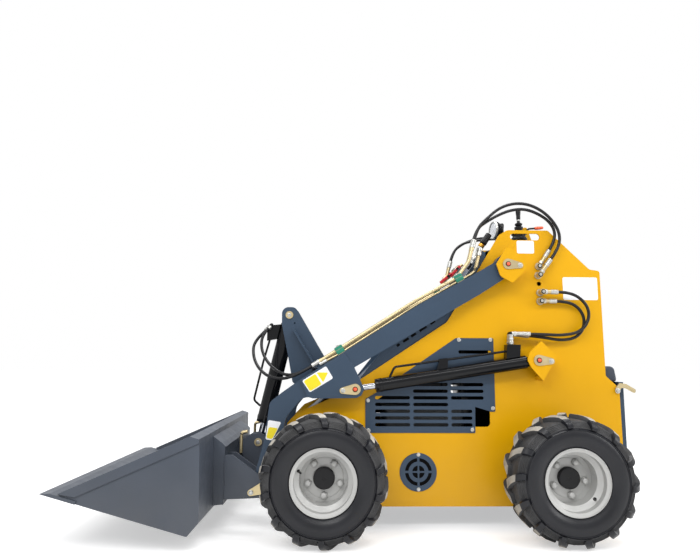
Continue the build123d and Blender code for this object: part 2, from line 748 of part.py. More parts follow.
# Attach plate with its ears for the arms and the tilt cylinder
HINGE_EAR_ROWS = [
    (ATTACH_X, HINGE_Z + 152, 0),
    (HINGE_X - 150, HINGE_Z + 152, 0),
    (HINGE_X - 17, HINGE_Z + 58, 20),
    (HINGE_X + 38, HINGE_Z + 34, 34),
    (HINGE_X + 42, HINGE_Z - 44, 30),
    (HINGE_X - 98, HINGE_Z - 50, 10),
    (ATTACH_X, HINGE_Z - 53, 0),
]
TILT_EAR_ROWS = [
    (ATTACH_X, EAR_Z - 6, 0),
    (EAR_X - 40, EAR_Z + 42, 20),
    (EAR_X + 34, EAR_Z + 52, 34),
    (EAR_X + 44, EAR_Z - 20, 20),
    (EAR_X - 4, EAR_Z - 140, 10),
    (ATTACH_X, EAR_Z - 90, 0),
]
HINGE_INNER = ARM_IN - SIDE_GAP - BRACKET_T
with BuildPart() as attach_plate:
    with BuildSketch(Plane.XZ.offset(EAR_OUT)):
        with BuildLine():
            Polyline(
                (MOUNT_FRONT_X, ATTACH_BOTTOM_Z),
                (ATTACH_X, ATTACH_BOTTOM_Z),
                (ATTACH_X, ATTACH_TOP_Z),
                (MOUNT_FRONT_X, ATTACH_TOP_Z),
                close=True,
            )
        make_face()
    extrude(amount=-2 * EAR_OUT)
    for side_name, side in SIDES:
        for start in (HINGE_INNER, EAR_IN):
            with BuildSketch(side_plane(side, start)):
                outline(HINGE_EAR_ROWS)
                with Locations((HINGE_X, HINGE_Z)):
                    Circle(PIN_D / 2 + PIN_SEAT, mode=Mode.SUBTRACT)
            extrude(amount=outward(side, BRACKET_T))
        with BuildSketch(side_plane(side, EAR_GAP)):
            outline(TILT_EAR_ROWS)
            with Locations((EAR_X, EAR_Z)):
                Circle(PIN_D / 2 + PIN_SEAT, mode=Mode.SUBTRACT)
        extrude(amount=outward(side, EAR_T))
save(attach_plate, "attach_plate")

# Latch levers on the attach plate
LEVER_D = 14
LEVER_Y = 210
with BuildPart() as latch_levers:
    for side_name, side in SIDES:
        with BuildLine() as lever_path:
            FilletPolyline(
                (ATTACH_X + 52, side * LEVER_Y, ATTACH_TOP_Z - 55),
                (ATTACH_X + 52, side * LEVER_Y, ATTACH_TOP_Z + 48),
                (ATTACH_X + 82, side * LEVER_Y, ATTACH_TOP_Z + 54),
                radius=12,
            )
        with BuildSketch(Plane(origin=lever_path.line @ 0, z_dir=(0, 0, 1))):
            Circle(LEVER_D / 2)
        sweep(path=lever_path.line)
        with BuildSketch(Plane.XY.offset(ATTACH_TOP_Z - 105)):
            with Locations((ATTACH_X + 30, side * LEVER_Y)):
                Rectangle(60, 50)
        extrude(amount=50)
save(latch_levers, "latch_levers")

# Stand-on platform, folded up behind the machine
with BuildPart() as platform:
    with BuildSketch(Plane.XZ.offset(PLATFORM_W / 2)):
        with BuildLine():
            Polyline(
                (PLATFORM_X - 15, PLATFORM_Z),
                (PLATFORM_X - 10, PLATFORM_Z),
                (PLATFORM_X - 10, PLATFORM_Z + PLATFORM_L - 5),
                (PLATFORM_X + 11, PLATFORM_Z + PLATFORM_L - 5),
                (PLATFORM_X + 11, PLATFORM_Z + PLATFORM_L),
                (PLATFORM_X - 15, PLATFORM_Z + PLATFORM_L),
                close=True,
            )
        make_face()
    extrude(amount=-PLATFORM_W)
    for side_name, side in SIDES:
        with BuildSketch(side_plane(side, PLATFORM_W / 2 - 5)):
            with Locations((PLATFORM_X - 2, PLATFORM_Z + PLATFORM_L / 2)):
                Rectangle(PLATFORM_T, PLATFORM_L)
            with Locations((PLATFORM_X, PLATFORM_Z)):
                Circle(17)
                Circle(8.4, mode=Mode.SUBTRACT)
        extrude(amount=outward(side, 5))
save(platform, "platform")

# Thigh pad above the platform
with BuildPart() as thigh_pad:
    with BuildSketch(Plane.XZ.offset(PLATFORM_W / 2 - 10)):
        outline(
            [
                (PLATE_BACK_X - 14, 800, 0),
                (PLATE_BACK_X + 70, 800, 12),
                (PLATE_BACK_X + 82, 722, 14),
                (PLATE_BACK_X + 40, 722, 0),
                (PLATE_BACK_X - 13.9, 745, 0),
            ]
        )
    extrude(amount=-PLATFORM_W + 20)
save(thigh_pad, "thigh_pad")

# Joysticks with their bellows
JOYSTICK_X = PIVOT_X + 132
JOYSTICK_Y = 150
JOYSTICK_ROWS = [
    (0, 0),
    (44, 0),
    (44, 6),
    (34, 18),
    (34, 24),
    (43, 38),
    (43, 46),
    (34, 57),
    (34, 62),
    (42, 70),
    (38, 78),
    (20, 92),
    (23, 104),
    (23, 112),
    (13, 116),
    (20, 124),
    (20, 131),
    (9, 138),
    (7, 152),
    (10, 156),
    (12, 204),
    (8, 209),
    (0, 209),
]
# Hand valve on the hood: a foot, the valve's body along the hood, its collar and lever
VALVE_RUN = 318
VALVE_FOOT_L = 26
VALVE_FOOT_SIZE = (40, 30)
VALVE_D = 26
COLLAR_D = 32
COLLAR_L = 16
LEVER_STEM_D = 16
KNOB_D = 38
KNOB_START = 24
HOOD_SLOPE = atan2(HOOD_ROWS[5][1] - HOOD_ROWS[4][1], HOOD_ROWS[5][0] - HOOD_ROWS[4][0])
VALVE_FOOT = along(*HOOD_ROWS[4], *HOOD_ROWS[5], VALVE_RUN, 0)
VALVE_LOW = (PIVOT_X - 148, 1336)
VALVE_TOP = (PIVOT_X - 84, 1450)
LEVER_TOP = (PIVOT_X - 35, 1521)
with BuildPart() as controls:
    for side_name, side in SIDES:
        base = Plane(
            origin=(JOYSTICK_X, side * JOYSTICK_Y, CONSOLE_Z), x_dir=(1, 0, 0), z_dir=(0, -1, 0)
        )
        with BuildSketch(base):
            with BuildLine():
                Polyline(*JOYSTICK_ROWS, close=True)
            make_face()
        revolve(axis=Axis(base.origin, (0, 0, 1)))
    foot = Plane(
        origin=(VALVE_FOOT[0], -JOYSTICK_Y, VALVE_FOOT[1]),
        z_dir=(-sin(HOOD_SLOPE), 0, cos(HOOD_SLOPE)),
    )
    with BuildSketch(foot):
        Rectangle(*VALVE_FOOT_SIZE)
    extrude(amount=VALVE_FOOT_L)
    valve_ends = [(x, -JOYSTICK_Y, z) for x, z in (VALVE_LOW, VALVE_TOP)]
    add(stub(*valve_ends, VALVE_D))
    lever_way = Vector(LEVER_TOP[0] - VALVE_TOP[0], 0, LEVER_TOP[1] - VALVE_TOP[1])
    lever = Plane(origin=valve_ends[1], z_dir=lever_way.normalized())
    with BuildSketch(lever):
        Circle(COLLAR_D / 2)
    extrude(amount=COLLAR_L)
    with BuildSketch(lever):
        Circle(LEVER_STEM_D / 2)
    extrude(amount=KNOB_START + 6)
    with BuildSketch(lever.offset(KNOB_START)):
        Circle(KNOB_D / 2)
    extrude(amount=lever_way.length - KNOB_START, taper=3)
save(controls, "controls")

# Round work lamp on a stalk, and the instrument pod behind the joysticks
LAMP_X = PIVOT_X + 62
LAMP_Z = 1582
LAMP_D = 102
LAMP_TURN = 9
LAMP_RIM = 5
LAMP_BACK = 16
LAMP_FRONT = 34
with BuildPart() as work_lamp:
    lamp = Plane(
        origin=(LAMP_X, 0, LAMP_Z), z_dir=(-cos(radians(LAMP_TURN)), -sin(radians(LAMP_TURN)), 0)
    )
    with BuildSketch(lamp.offset(LAMP_BACK)):
        Circle(LAMP_D / 2)
    extrude(amount=LAMP_FRONT - LAMP_BACK)
    with BuildSketch(lamp.offset(LAMP_FRONT - LAMP_RIM)):
        Circle(LAMP_D / 2 - LAMP_RIM)
    extrude(amount=LAMP_RIM, mode=Mode.SUBTRACT)
    with BuildSketch(lamp.offset(LAMP_BACK)):
        Circle(LAMP_D / 2 - LAMP_RIM)
    extrude(amount=-2 * LAMP_BACK - 2, taper=20)
    with BuildSketch(Plane.XY.offset(CONSOLE_Z)):
        with Locations((LAMP_X, 0)):
            Rectangle(26, 40)
    extrude(amount=LAMP_Z - CONSOLE_Z - 20)
save(work_lamp, "work_lamp")
POD_ROWS = [
    (PIVOT_X + 158, CONSOLE_Z, 0),
    (PIVOT_X + 178, CONSOLE_Z + 128, 12),
    (PIVOT_X + 206, CONSOLE_Z + 134, 12),
    (PLATE_BACK_X - 278, CONSOLE_Z + 30, 8),
    (PLATE_BACK_X - 280, CONSOLE_Z, 0),
]
with BuildPart() as instrument_pod:
    with BuildSketch(Plane.XZ.offset(70)):
        outline(POD_ROWS)
    extrude(amount=-140)
save(instrument_pod, "instrument_pod")

# Zinc latch handle that holds the folded platform, on the outside of the left plate
LATCH_ROWS = [
    (PLATE_REAR_X - 24, 668, 8),
    (PLATE_REAR_X - 26, 690, 8),
    (PLATE_REAR_X - 4, 717, 12),
    (PLATE_REAR_X + 30, 712, 12),
    (PLATE_REAR_X + 78, 684, 8),
    (PLATE_REAR_X + 76, 662, 8),
    (PLATE_REAR_X + 30, 688, 12),
    (PLATE_REAR_X + 4, 692, 8),
    (PLATE_REAR_X - 8, 670, 6),
]
with BuildPart() as platform_latch:
    with BuildSketch(side_plane(-1, BODY_Y)):
        outline(LATCH_ROWS)
    extrude(amount=outward(-1, 8))
save(platform_latch, "platform_latch")

# Pipes on top of the arms, bent up at the back, with a ferrule at each end
PIPE_LIFT = 26
FERRULE_D = 21
FERRULE_L = 56
PIPE_YS = (ARM_IN + 14, ARM_IN + 36)
TOP_FRONT = (ROD_X - 270, ROD_Z + 48)
TOP_MIDDLE = (ROD_X + 331, ROD_Z + 430)
TOP_BACK = (PIVOT_X - 139, PIVOT_Z - 33)
PIPE_START = along(*TOP_FRONT, *TOP_MIDDLE, 139, PIPE_LIFT)
PIPE_MIDDLE = along(*TOP_MIDDLE, *TOP_BACK, -8, PIPE_LIFT)
PIPE_BACK = along(*TOP_MIDDLE, *TOP_BACK, 235, PIPE_LIFT)
PIPE_TURN = (PIVOT_X - 190, PIVOT_Z + 20)
PIPE_END = (PIVOT_X - 174, PIVOT_Z + 78)
CLAMP_W = PIPE_YS[1] - PIPE_YS[0] + 24
CLAMP_L = 40
# Two ball valves beside the right arm's pipes: a pipe and two bodies, each with its diameter
BALL_VALVE_Y = PIPE_YS[1]
BALL_VALVE_ROWS = (
    ((528, 1326), (660, 1436), 20),
    ((540, 1336), (584, 1372), 36),
    ((600, 1386), (640, 1419), 34),
)
with BuildPart() as arm_pipes:
    for side_name, side in SIDES:
        for y in PIPE_YS:
            with BuildLine() as pipe_path:
                FilletPolyline(
                    *[
                        (x, side * y, z)
                        for x, z in (PIPE_START, PIPE_MIDDLE, PIPE_BACK, PIPE_TURN, PIPE_END)
                    ],
                    radius=[300, 60, 60],
                )
            with BuildSketch(Plane(origin=pipe_path.line @ 0, z_dir=pipe_path.line % 0)):
                Circle(PIPE_D / 2)
            sweep(path=pipe_path.line)
            for end_at, way in ((0, -1), (1, 1)):
                mouth = Plane(
                    origin=pipe_path.line @ end_at, z_dir=(pipe_path.line % end_at) * way
                )
                with BuildSketch(mouth):
                    Circle(FERRULE_D / 2)
                extrude(amount=FERRULE_L)
        for first, last, run in ((TOP_FRONT, TOP_MIDDLE, 240), (TOP_MIDDLE, TOP_BACK, 242)):
            foot_x, foot_z = along(*first, *last, run, 0)
            slope = atan2(last[1] - first[1], last[0] - first[0])
            foot = Plane(
                origin=(foot_x, side * (PIPE_YS[0] + PIPE_YS[1]) / 2, foot_z),
                x_dir=(0, 1, 0),
                z_dir=(-sin(slope), 0, cos(slope)),
            )
            with BuildSketch(foot):
                Rectangle(CLAMP_W, CLAMP_L)
            extrude(amount=PIPE_LIFT + PIPE_D / 2 + 4)
    for first, last, diameter in BALL_VALVE_ROWS:
        add(stub(*[(x, BALL_VALVE_Y, z) for x, z in (first, last)], diameter))
save(arm_pipes, "arm_pipes")

# Hoses. A row of a route is x, y from the middle, z. The first and last rows are the
# corners of the fittings, and the hose starts and ends a run along the legs from them.
HOSE_D = 16
PLATE_LEAD = 100
RAM_LEAD = 77
RAM_TAIL = 98
TILT_TAIL = 30
FRONT_MOUTH = along(*PIPE_START, *PIPE_MIDDLE, -FERRULE_L, 0)
FRONT_NEXT = along(*PIPE_START, *FRONT_MOUTH, FERRULE_L + 71, 0)
BACK_MOUTH = along(*PIPE_END, *PIPE_TURN, -FERRULE_L, 0)
BACK_NEXT = along(*PIPE_END, *BACK_MOUTH, FERRULE_L + 70, 0)
OUTER_Y = PIPE_YS[1]
INNER_HOSE_Y = PIPE_YS[0]
OUTER_TAIL = [(BACK_NEXT[0], OUTER_Y, BACK_NEXT[1]), (BACK_MOUTH[0], OUTER_Y, BACK_MOUTH[1])]
INNER_TAIL = [
    (BACK_NEXT[0], INNER_HOSE_Y, BACK_NEXT[1]),
    (BACK_MOUTH[0], INNER_HOSE_Y, BACK_MOUTH[1]),
]
ARM_ROUTES = {
    ("outer", "left"): [
        (PORT_X - 6, 294, PORT_Z + 43),
        (1028, 294, 1412),
        (1042, 294, 1486),
        (1012, 293, 1556),
        (955, 291, 1616),
        (880, 289, 1654),
        (800, 289, 1658),
        (722, 293, 1630),
        (655, 299, 1572),
    ]
    + OUTER_TAIL,
    ("inner", "left"): [
        (PORT_X - 1, 276, PORT_Z + 92),
        (1012, 276, 1448),
        (1024, 275, 1508),
        (996, 274, 1564),
        (938, 273, 1606),
        (868, 273, 1632),
        (795, 274, 1626),
        (728, 276, 1600),
        (662, 280, 1562),
    ]
    + INNER_TAIL,
    ("outer", "right"): [
        (PORT_X - 6, 294, PORT_Z + 43),
        (1022, 294, 1404),
        (1034, 294, 1472),
        (1004, 293, 1532),
        (942, 291, 1580),
        (864, 289, 1604),
        (784, 290, 1608),
        (712, 294, 1590),
        (654, 300, 1562),
    ]
    + OUTER_TAIL,
    ("inner", "right"): [
        (PORT_X - 1, 276, PORT_Z + 92),
        (1006, 276, 1439),
        (1018, 275, 1492),
        (1000, 274, 1544),
        (958, 273, 1580),
        (900, 273, 1596),
        (832, 274, 1596),
        (764, 275, 1588),
        (707, 278, 1579),
        (651, 281, 1563),
    ]
    + INNER_TAIL,
}
ELBOW_RISE = 56
RAM_BLOCK_X = PIVOT_X + 13
RAM_BLOCK_Z = BASE_Z + 134
RAM_ROUTES = {
    "upper": [
        (PORT_X + 1, 306, PORT_Z - 48),
        (1068, 306, 1180),
        (1130, 306, 1149),
        (1169, 306, 1092),
        (1160, 306, 1024),
        (1110, 306, 972),
        (1020, 308, 957),
        (930, 313, 961),
        (RAM_BLOCK_X, EYE_MID + 11, RAM_BLOCK_Z),
    ],
    "lower": [
        (PORT_X - 1, 286, PORT_Z - 94),
        (1064, 286, 1134),
        (1122, 286, 1106),
        (1152, 286, 1050),
        (1142, 286, 988),
        (1097, 288, 944),
        (1018, 290, 932),
        (930, 292, 948),
        (RAM_BLOCK_X, EYE_MID - 11, RAM_BLOCK_Z),
    ],
}
TILT_ROUTES = {
    "near": [
        (FRONT_MOUTH[0], INNER_HOSE_Y, FRONT_MOUTH[1]),
        (FRONT_NEXT[0], INNER_HOSE_Y, FRONT_NEXT[1]),
        (-385, 258, 745),
        (-452, 212, 775),
        (-508, 162, 825),
        (-542, 108, 890),
        (-545, 60, 960),
        (TOWER_X - 103, 20, TOWER_Z - 53),
    ],
    "far": [
        (FRONT_MOUTH[0], OUTER_Y, FRONT_MOUTH[1]),
        (FRONT_NEXT[0], OUTER_Y, FRONT_NEXT[1]),
        (-398, 284, 728),
        (-480, 238, 738),
        (-545, 180, 784),
        (-584, 116, 852),
        (-588, 56, 930),
        (TOWER_X - 119, -8, TOWER_Z - 65),
    ],
}


def bend_radii(points):
    """Largest arc at each corner: 0.45 of the shorter run over the half turn's tangent."""
    vectors = [Vector(*point) for point in points]
    radii = []
    for before, corner, after in zip(vectors, vectors[1:], vectors[2:]):
        shorter = min((corner - before).length, (after - corner).length)
        half = radians((corner - before).get_angle(after - corner)) / 2
        radii.append(0.45 * shorter / tan(half))
    return radii


def on_leg(start, toward, run):
    """Point at a run from one point toward another, as a plain tuple."""
    leg = Vector(*toward) - Vector(*start)
    point = Vector(*start) + leg.normalized() * run
    return (point.X, point.Y, point.Z)


def hose(name, route, side, lead, tail):
    """Saves the tube of one hose and gives back the points where it starts and ends."""
    corners = [(x, side * y, z) for x, y, z in route]
    start = on_leg(corners[0], corners[1], lead)
    end = on_leg(corners[-1], corners[-2], tail)
    points = [start] + corners[1:-1] + [end]
    radii = bend_radii(points)
    with BuildPart() as tube:
        with BuildLine() as path:
            FilletPolyline(*points, radius=radii)
        with BuildSketch(Plane(origin=path.line @ 0, z_dir=path.line % 0)):
            Circle(HOSE_D / 2)
        sweep(path=path.line)
    length = path.wires()[0].length
    runs = [(Vector(*b) - Vector(*a)).length for a, b in zip(points, points[1:])]
    steepest = max(max(a, b) / min(a, b) for a, b in zip(runs, runs[1:]))
    section_volume = pi * HOSE_D**2 / 4 * length
    print(name, "length", round(length), "tightest", round(min(radii)))
    print("  runs", round(min(runs)), round(max(runs)), "ratio", round(steepest, 2))
    print("  volume over section", round(tube.part.volume / section_volume, 3))
    save(tube, name)
    return start, end


# Each fitting is an elbow out of the plate or block and a ferrule at the hose's end
ELBOW_D = 29
ELBOW_NUT_D = 38
ELBOW_NUT_T = 10
NUT_D = 20
fitting_solids = []
ram_ends = {}
for side_name, side in SIDES:
    started = []
    for which in ("outer", "inner"):
        route = ARM_ROUTES[(which, side_name)]
        start, end = hose(f"arm_hose_{which}_{side_name}", route, side, PLATE_LEAD, 0)
        started.append((route[0], start))
    for which, route in RAM_ROUTES.items():
        start, end = hose(f"ram_hose_{which}_{side_name}", route, side, RAM_LEAD, RAM_TAIL)
        started.append((route[0], start))
        corner = (route[-1][0], side * route[-1][1], route[-1][2])
        ram_ends.setdefault(side_name, []).append((corner, end))
    for (x, y, z), start in started:
        foot = (x, side * BODY_Y, z)
        elbow = stub(foot, (x, side * (y + 11), z), ELBOW_D)
        nut = stub(foot, (x, side * (BODY_Y + ELBOW_NUT_T), z), ELBOW_NUT_D)
        fitting_solids.append(elbow + nut)
        fitting_solids.append(stub((x, side * y, z), start, FERRULE_D))
tilt_ends = []
for which, route in TILT_ROUTES.items():
    start, end = hose(f"tilt_hose_{which}", route, -1, 0, TILT_TAIL)
    tilt_ends.append(((route[-1][0], -route[-1][1], route[-1][2]), end))
with BuildPart() as plate_fittings:
    add(fitting_solids)
save(plate_fittings, "plate_fittings")

# Cylinders with their port blocks, elbows and the steel line to the rod's end
LINE_D = 12
RAM_BLOCK_W = 48
RAM_SEAT = LIFT_BORE_D / 2 - 2
LIFT_LINE = (BASE_X, BASE_Z, ROD_X, ROD_Z)
RAM_BLOCK_ROWS = [
    (PIVOT_X - 11, RAM_BLOCK_Z - ELBOW_RISE, 0),
    (PIVOT_X + 59, RAM_BLOCK_Z - ELBOW_RISE, 0),
    (*along(*LIFT_LINE, 82, -RAM_SEAT), 0),
    (*along(*LIFT_LINE, 153, -RAM_SEAT), 0),
]
LINE_CLAMP_W = 26
LINE_CLAMP_ROWS = [
    (*along(*LIFT_LINE, 452, -RAM_SEAT), 0),
    (ROD_X + 468, 840, 3),
    (ROD_X + 426, 834, 3),
    (*along(*LIFT_LINE, 508, -RAM_SEAT), 0),
]
RAM_LINE_END = along(*LIFT_LINE, LIFT_LENGTH - 182, 0.8 - LIFT_BORE_D / 2)
TILT_BLOCK_W = 52
TILT_SEAT = TILT_BORE_D / 2 - 2
TILT_LINE = (TOWER_X, TOWER_Z, EAR_X, EAR_Z)
TILT_BLOCK_ROWS = [
    (TOWER_X - 126, TOWER_Z - 141, 0),
    (TOWER_X - 126, TOWER_Z - 57, 0),
    (*along(*TILT_LINE, 60, -TILT_SEAT), 0),
    (*along(*TILT_LINE, 145, -TILT_SEAT), 0),
]
TILT_LINE_END = along(*TILT_LINE, TILT_LENGTH - 185, 0.5 - TILT_BORE_D / 2)
for side_name, side in SIDES:
    barrel_form, lift_rod = ram(
        BASE_X, BASE_Z, ROD_X, ROD_Z, side, EYE_MID, LIFT_BORE_D, LIFT_ROD_D, 52, LIFT_LENGTH - 104
    )
    with BuildPart() as lift_barrel:
        add(barrel_form.part)
        with BuildSketch(side_plane(1, side * EYE_MID - RAM_BLOCK_W / 2)):
            outline(RAM_BLOCK_ROWS)
        extrude(amount=-RAM_BLOCK_W)
        for corner, end in ram_ends[side_name]:
            add(stub((corner[0], corner[1], corner[2] - ELBOW_RISE - 2), corner, NUT_D))
            add(stub(corner, end, FERRULE_D))
            with Locations(corner):
                Sphere(FERRULE_D / 2)
        with BuildSketch(side_plane(1, side * EYE_MID - LINE_CLAMP_W / 2)):
            outline(LINE_CLAMP_ROWS)
        extrude(amount=-LINE_CLAMP_W)
        with BuildLine() as steel_line:
            FilletPolyline(
                (PIVOT_X + 2, side * EYE_MID, BASE_Z + 46),
                (ROD_X + 199, side * EYE_MID, ROD_Z + 110),
                (RAM_LINE_END[0], side * EYE_MID, RAM_LINE_END[1]),
                radius=24,
            )
        with BuildSketch(Plane(origin=steel_line.line @ 0, z_dir=steel_line.line % 0)):
            Circle(LINE_D / 2)
        sweep(path=steel_line.line)
    save(lift_barrel, f"lift_barrel_{side_name}")
    save(lift_rod, f"lift_rod_{side_name}")
tilt_form, tilt_rod = ram(
    TOWER_X, TOWER_Z, EAR_X, EAR_Z, 1, 0, TILT_BORE_D, TILT_ROD_D, 50, TILT_LENGTH - 104
)
with BuildPart() as tilt_barrel:
    add(tilt_form.part)
    with BuildSketch(side_plane(1, -TILT_BLOCK_W / 2)):
        outline(TILT_BLOCK_ROWS)
    extrude(amount=-TILT_BLOCK_W)
    for corner, end in tilt_ends:
        add(stub((corner[0], corner[1], corner[2] - 30), corner, NUT_D))
        with Locations(corner):
            Sphere(NUT_D / 2)
        add(stub(corner, end, NUT_D))
    with BuildLine() as steel_line:
        FilletPolyline(
            (TOWER_X - 112, 0, TOWER_Z - 130),
            (TOWER_X - 146, 0, TOWER_Z - 255),
            (EAR_X - 36, 0, EAR_Z + 221),
            (TILT_LINE_END[0], 0, TILT_LINE_END[1]),
            radius=[60, 24],
        )
    with BuildSketch(Plane(origin=steel_line.line @ 0, z_dir=steel_line.line % 0)):
        Circle(LINE_D / 2)
    sweep(path=steel_line.line)
save(tilt_barrel, "tilt_barrel")
save(tilt_rod, "tilt_rod")

# Wheels: the rim and tyre are turned about Y, with the outer face on -Y
RIM_R = RIM_D / 2
SEAT_R = RIM_R - 12
WELL_R = SEAT_R - 22
RIM_HALF = RIM_W / 2
RIM_ROWS = [
    (0, DISC_Y),
    (HUB_D / 2, DISC_Y),
    (WELL_R - 4, DISC_Y),
    (WELL_R - 4, 40),
    (SEAT_R - 5, 56),
    (SEAT_R - 5, RIM_HALF - 10),
    (RIM_R - 2, RIM_HALF - 4),
    (RIM_R - 2, RIM_HALF),
    (RIM_R, RIM_HALF),
    (RIM_R, RIM_HALF - 6),
    (SEAT_R, RIM_HALF - 14),
    (SEAT_R, 54),
    (WELL_R, 38),
    (WELL_R, -38),
    (SEAT_R, -54),
    (SEAT_R, 14 - RIM_HALF),
    (RIM_R, 6 - RIM_HALF),
    (RIM_R, -RIM_HALF),
    (RIM_R - 4, -RIM_HALF),
    (SEAT_R - 5, 8 - RIM_HALF),
    (SEAT_R - 5, -56),
    (WELL_R - 5, -42),
    (WELL_R - 5, DISC_Y - DISC_T),
    (0, DISC_Y - DISC_T),
]
TYRE_R = TYRE_D / 2
CARCASS_R = TYRE_R - LUG_DEPTH
SHOULDER_R = TYRE_R - 48
TYRE_HALF = TYRE_W / 2
# Half of the tyre's section from the bead to the crown: radius and y from the middle
HALF_ROWS = [
    (SEAT_R + 0.4, RIM_HALF - 16),
    (RIM_R + 0.4, RIM_HALF - 6),
    (RIM_R + 14, TYRE_HALF - 6),
    (RIM_R + 40, TYRE_HALF),
    (SHOULDER_R - 26, TYRE_HALF),
    (SHOULDER_R - 4, TYRE_HALF - 6),
    (CARCASS_R - 10, TYRE_HALF - 30),
    (CARCASS_R, TYRE_HALF - 66),
]
TYRE_ROWS = HALF_ROWS + [(radius, -y) for radius, y in reversed(HALF_ROWS)]
LUG_ROWS = [
    (SHOULDER_R - 6, TYRE_HALF - 12),
    (SHOULDER_R - 2, TYRE_HALF + 1),
    (TYRE_R - 17, TYRE_HALF - 12),
    (TYRE_R, TYRE_HALF - 48),
    (TYRE_R, -8),
    (CARCASS_R - 8, -4),
    (CARCASS_R - 16, TYRE_HALF - 36),
]

with BuildPart() as rim_form:
    with BuildSketch(Plane.XY):
        with BuildLine():
            Polyline(*[(radius, -y) for radius, y in RIM_ROWS], close=True)
        make_face()
    revolve(axis=Axis.Y)
    with BuildSketch(Plane.XZ.offset(DISC_Y - 10)):
        Circle(HUB_D / 2)
    extrude(amount=CAP_Y - DISC_Y + 10)
    with BuildSketch(Plane.XZ.offset(DISC_Y)):
        with PolarLocations(BOLT_CIRCLE_D / 2, BOLT_COUNT, start_angle=90):
            Circle(BOLT_D / 2)
    extrude(amount=BOLT_H)
    with BuildSketch(Plane.XZ.offset(DISC_Y - DISC_T)):
        Circle(SHAFT_D / 2)
    extrude(amount=-(HUB_IN - BODY_Y - 1))
    with BuildSketch(Plane.XZ.offset(DISC_Y - DISC_T)):
        Circle(BOLT_CIRCLE_D / 2 + 16)
    extrude(amount=-12)

with BuildPart() as carcass_form:
    with BuildSketch(Plane.XY):
        with BuildLine():
            Polyline(*[(radius, -y) for radius, y in TYRE_ROWS], close=True)
        make_face()
    revolve(axis=Axis.Y)

# Ring of the lugs' section, cut into bars that sweep back from the middle
LUG_ANGLE = 360 / LUG_COUNT
LUG_W = 46
LUG_SWEEP = 62
LUG_SPAN = TYRE_HALF + 4
with BuildPart() as lug_form:
    with BuildSketch(Plane.XY):
        with BuildLine():
            Polyline(*[(radius, -y) for radius, y in LUG_ROWS], close=True)
        make_face()
    revolve(axis=Axis.Y, revolution_arc=360)
    with BuildPart(mode=Mode.PRIVATE) as bars:
        for turn in range(LUG_COUNT):
            angle = turn * LUG_ANGLE
            with BuildSketch(Plane.XY.rotated((0, angle, 0)).offset(CARCASS_R - 60)):
                with BuildLine():
                    Polyline(
                        (-LUG_W / 2, 6),
                        (LUG_W / 2, 6),
                        (LUG_W / 2 + LUG_SWEEP - 6, -LUG_SPAN),
                        (LUG_SWEEP + 6 - LUG_W / 2, -LUG_SPAN),
                        close=True,
                    )
                make_face()
            extrude(amount=90)
    add(bars.part, mode=Mode.INTERSECT)
lugs_out = lug_form.part
lugs_in = lugs_out.mirror(Plane.XZ).rotate(Axis.Y, LUG_ANGLE / 2)
with BuildPart() as tyre_form:
    add(carcass_form.part)
    add(lugs_out)
    add(lugs_in)

for (end, x), turned in zip(AXLES, WHEELS_TURNED):
    for side_name, side in SIDES:
        place = Location((x, side * TRACK / 2, AXLE_Z), (0, 0, 0 if side < 0 else 180))
        place = place * Location((0, 0, 0), (0, -turned, 0))
        with BuildPart() as rim:
            add(rim_form.part.moved(place))
        save(rim, f"rim_{end}_{side_name}")
        with BuildPart() as tyre:
            add(tyre_form.part.moved(place))
        save(tyre, f"tyre_{end}_{side_name}")
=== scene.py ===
import json
import random
from math import cos, hypot, pi, radians, sin

import bmesh
import bpy
from mathutils import Matrix, Vector


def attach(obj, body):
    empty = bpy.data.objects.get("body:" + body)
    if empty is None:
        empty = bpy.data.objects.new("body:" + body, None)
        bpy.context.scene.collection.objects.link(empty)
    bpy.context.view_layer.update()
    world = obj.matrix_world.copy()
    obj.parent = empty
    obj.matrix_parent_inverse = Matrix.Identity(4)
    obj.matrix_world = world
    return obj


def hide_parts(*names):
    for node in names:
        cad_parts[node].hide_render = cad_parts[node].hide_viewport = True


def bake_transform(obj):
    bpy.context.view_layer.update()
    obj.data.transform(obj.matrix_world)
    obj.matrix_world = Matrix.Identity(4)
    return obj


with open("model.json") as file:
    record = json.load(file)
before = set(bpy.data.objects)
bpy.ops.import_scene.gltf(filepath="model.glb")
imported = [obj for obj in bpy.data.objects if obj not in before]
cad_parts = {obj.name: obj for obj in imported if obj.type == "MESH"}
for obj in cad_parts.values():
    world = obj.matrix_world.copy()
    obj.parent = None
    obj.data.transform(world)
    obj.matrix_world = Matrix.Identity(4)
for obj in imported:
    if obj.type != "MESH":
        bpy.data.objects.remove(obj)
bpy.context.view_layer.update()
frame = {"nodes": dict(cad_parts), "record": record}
nodes = frame["nodes"]
scene = bpy.context.scene

# Metres, with the bucket to -X and the machine's left side to -Y
SIDES = (("left", -1), ("right", 1))
ENDS = (("front", -0.182), ("rear", 0.946))
AXLE_Z = 0.292
TRACK = 0.978
# Matrices of no move and of one
STILL = Matrix.Identity(4)
moved = Matrix.Translation


def linked(name, data):
    """Object of some data, in the scene."""
    made = bpy.data.objects.new(name, data)
    scene.collection.objects.link(made)
    return made


# Camera at the photograph's viewing angle
IMAGE_W, IMAGE_H = 700, 560
FOCAL_PX = 520
CENTRE_PX = (354.5, 292.2)
SENSOR_MM = 36
PITCH, YAW, ROLL = radians(7.51), radians(-1.39), radians(0.30)
CAMERA_AT = (-0.107, -2.947, 0.823)


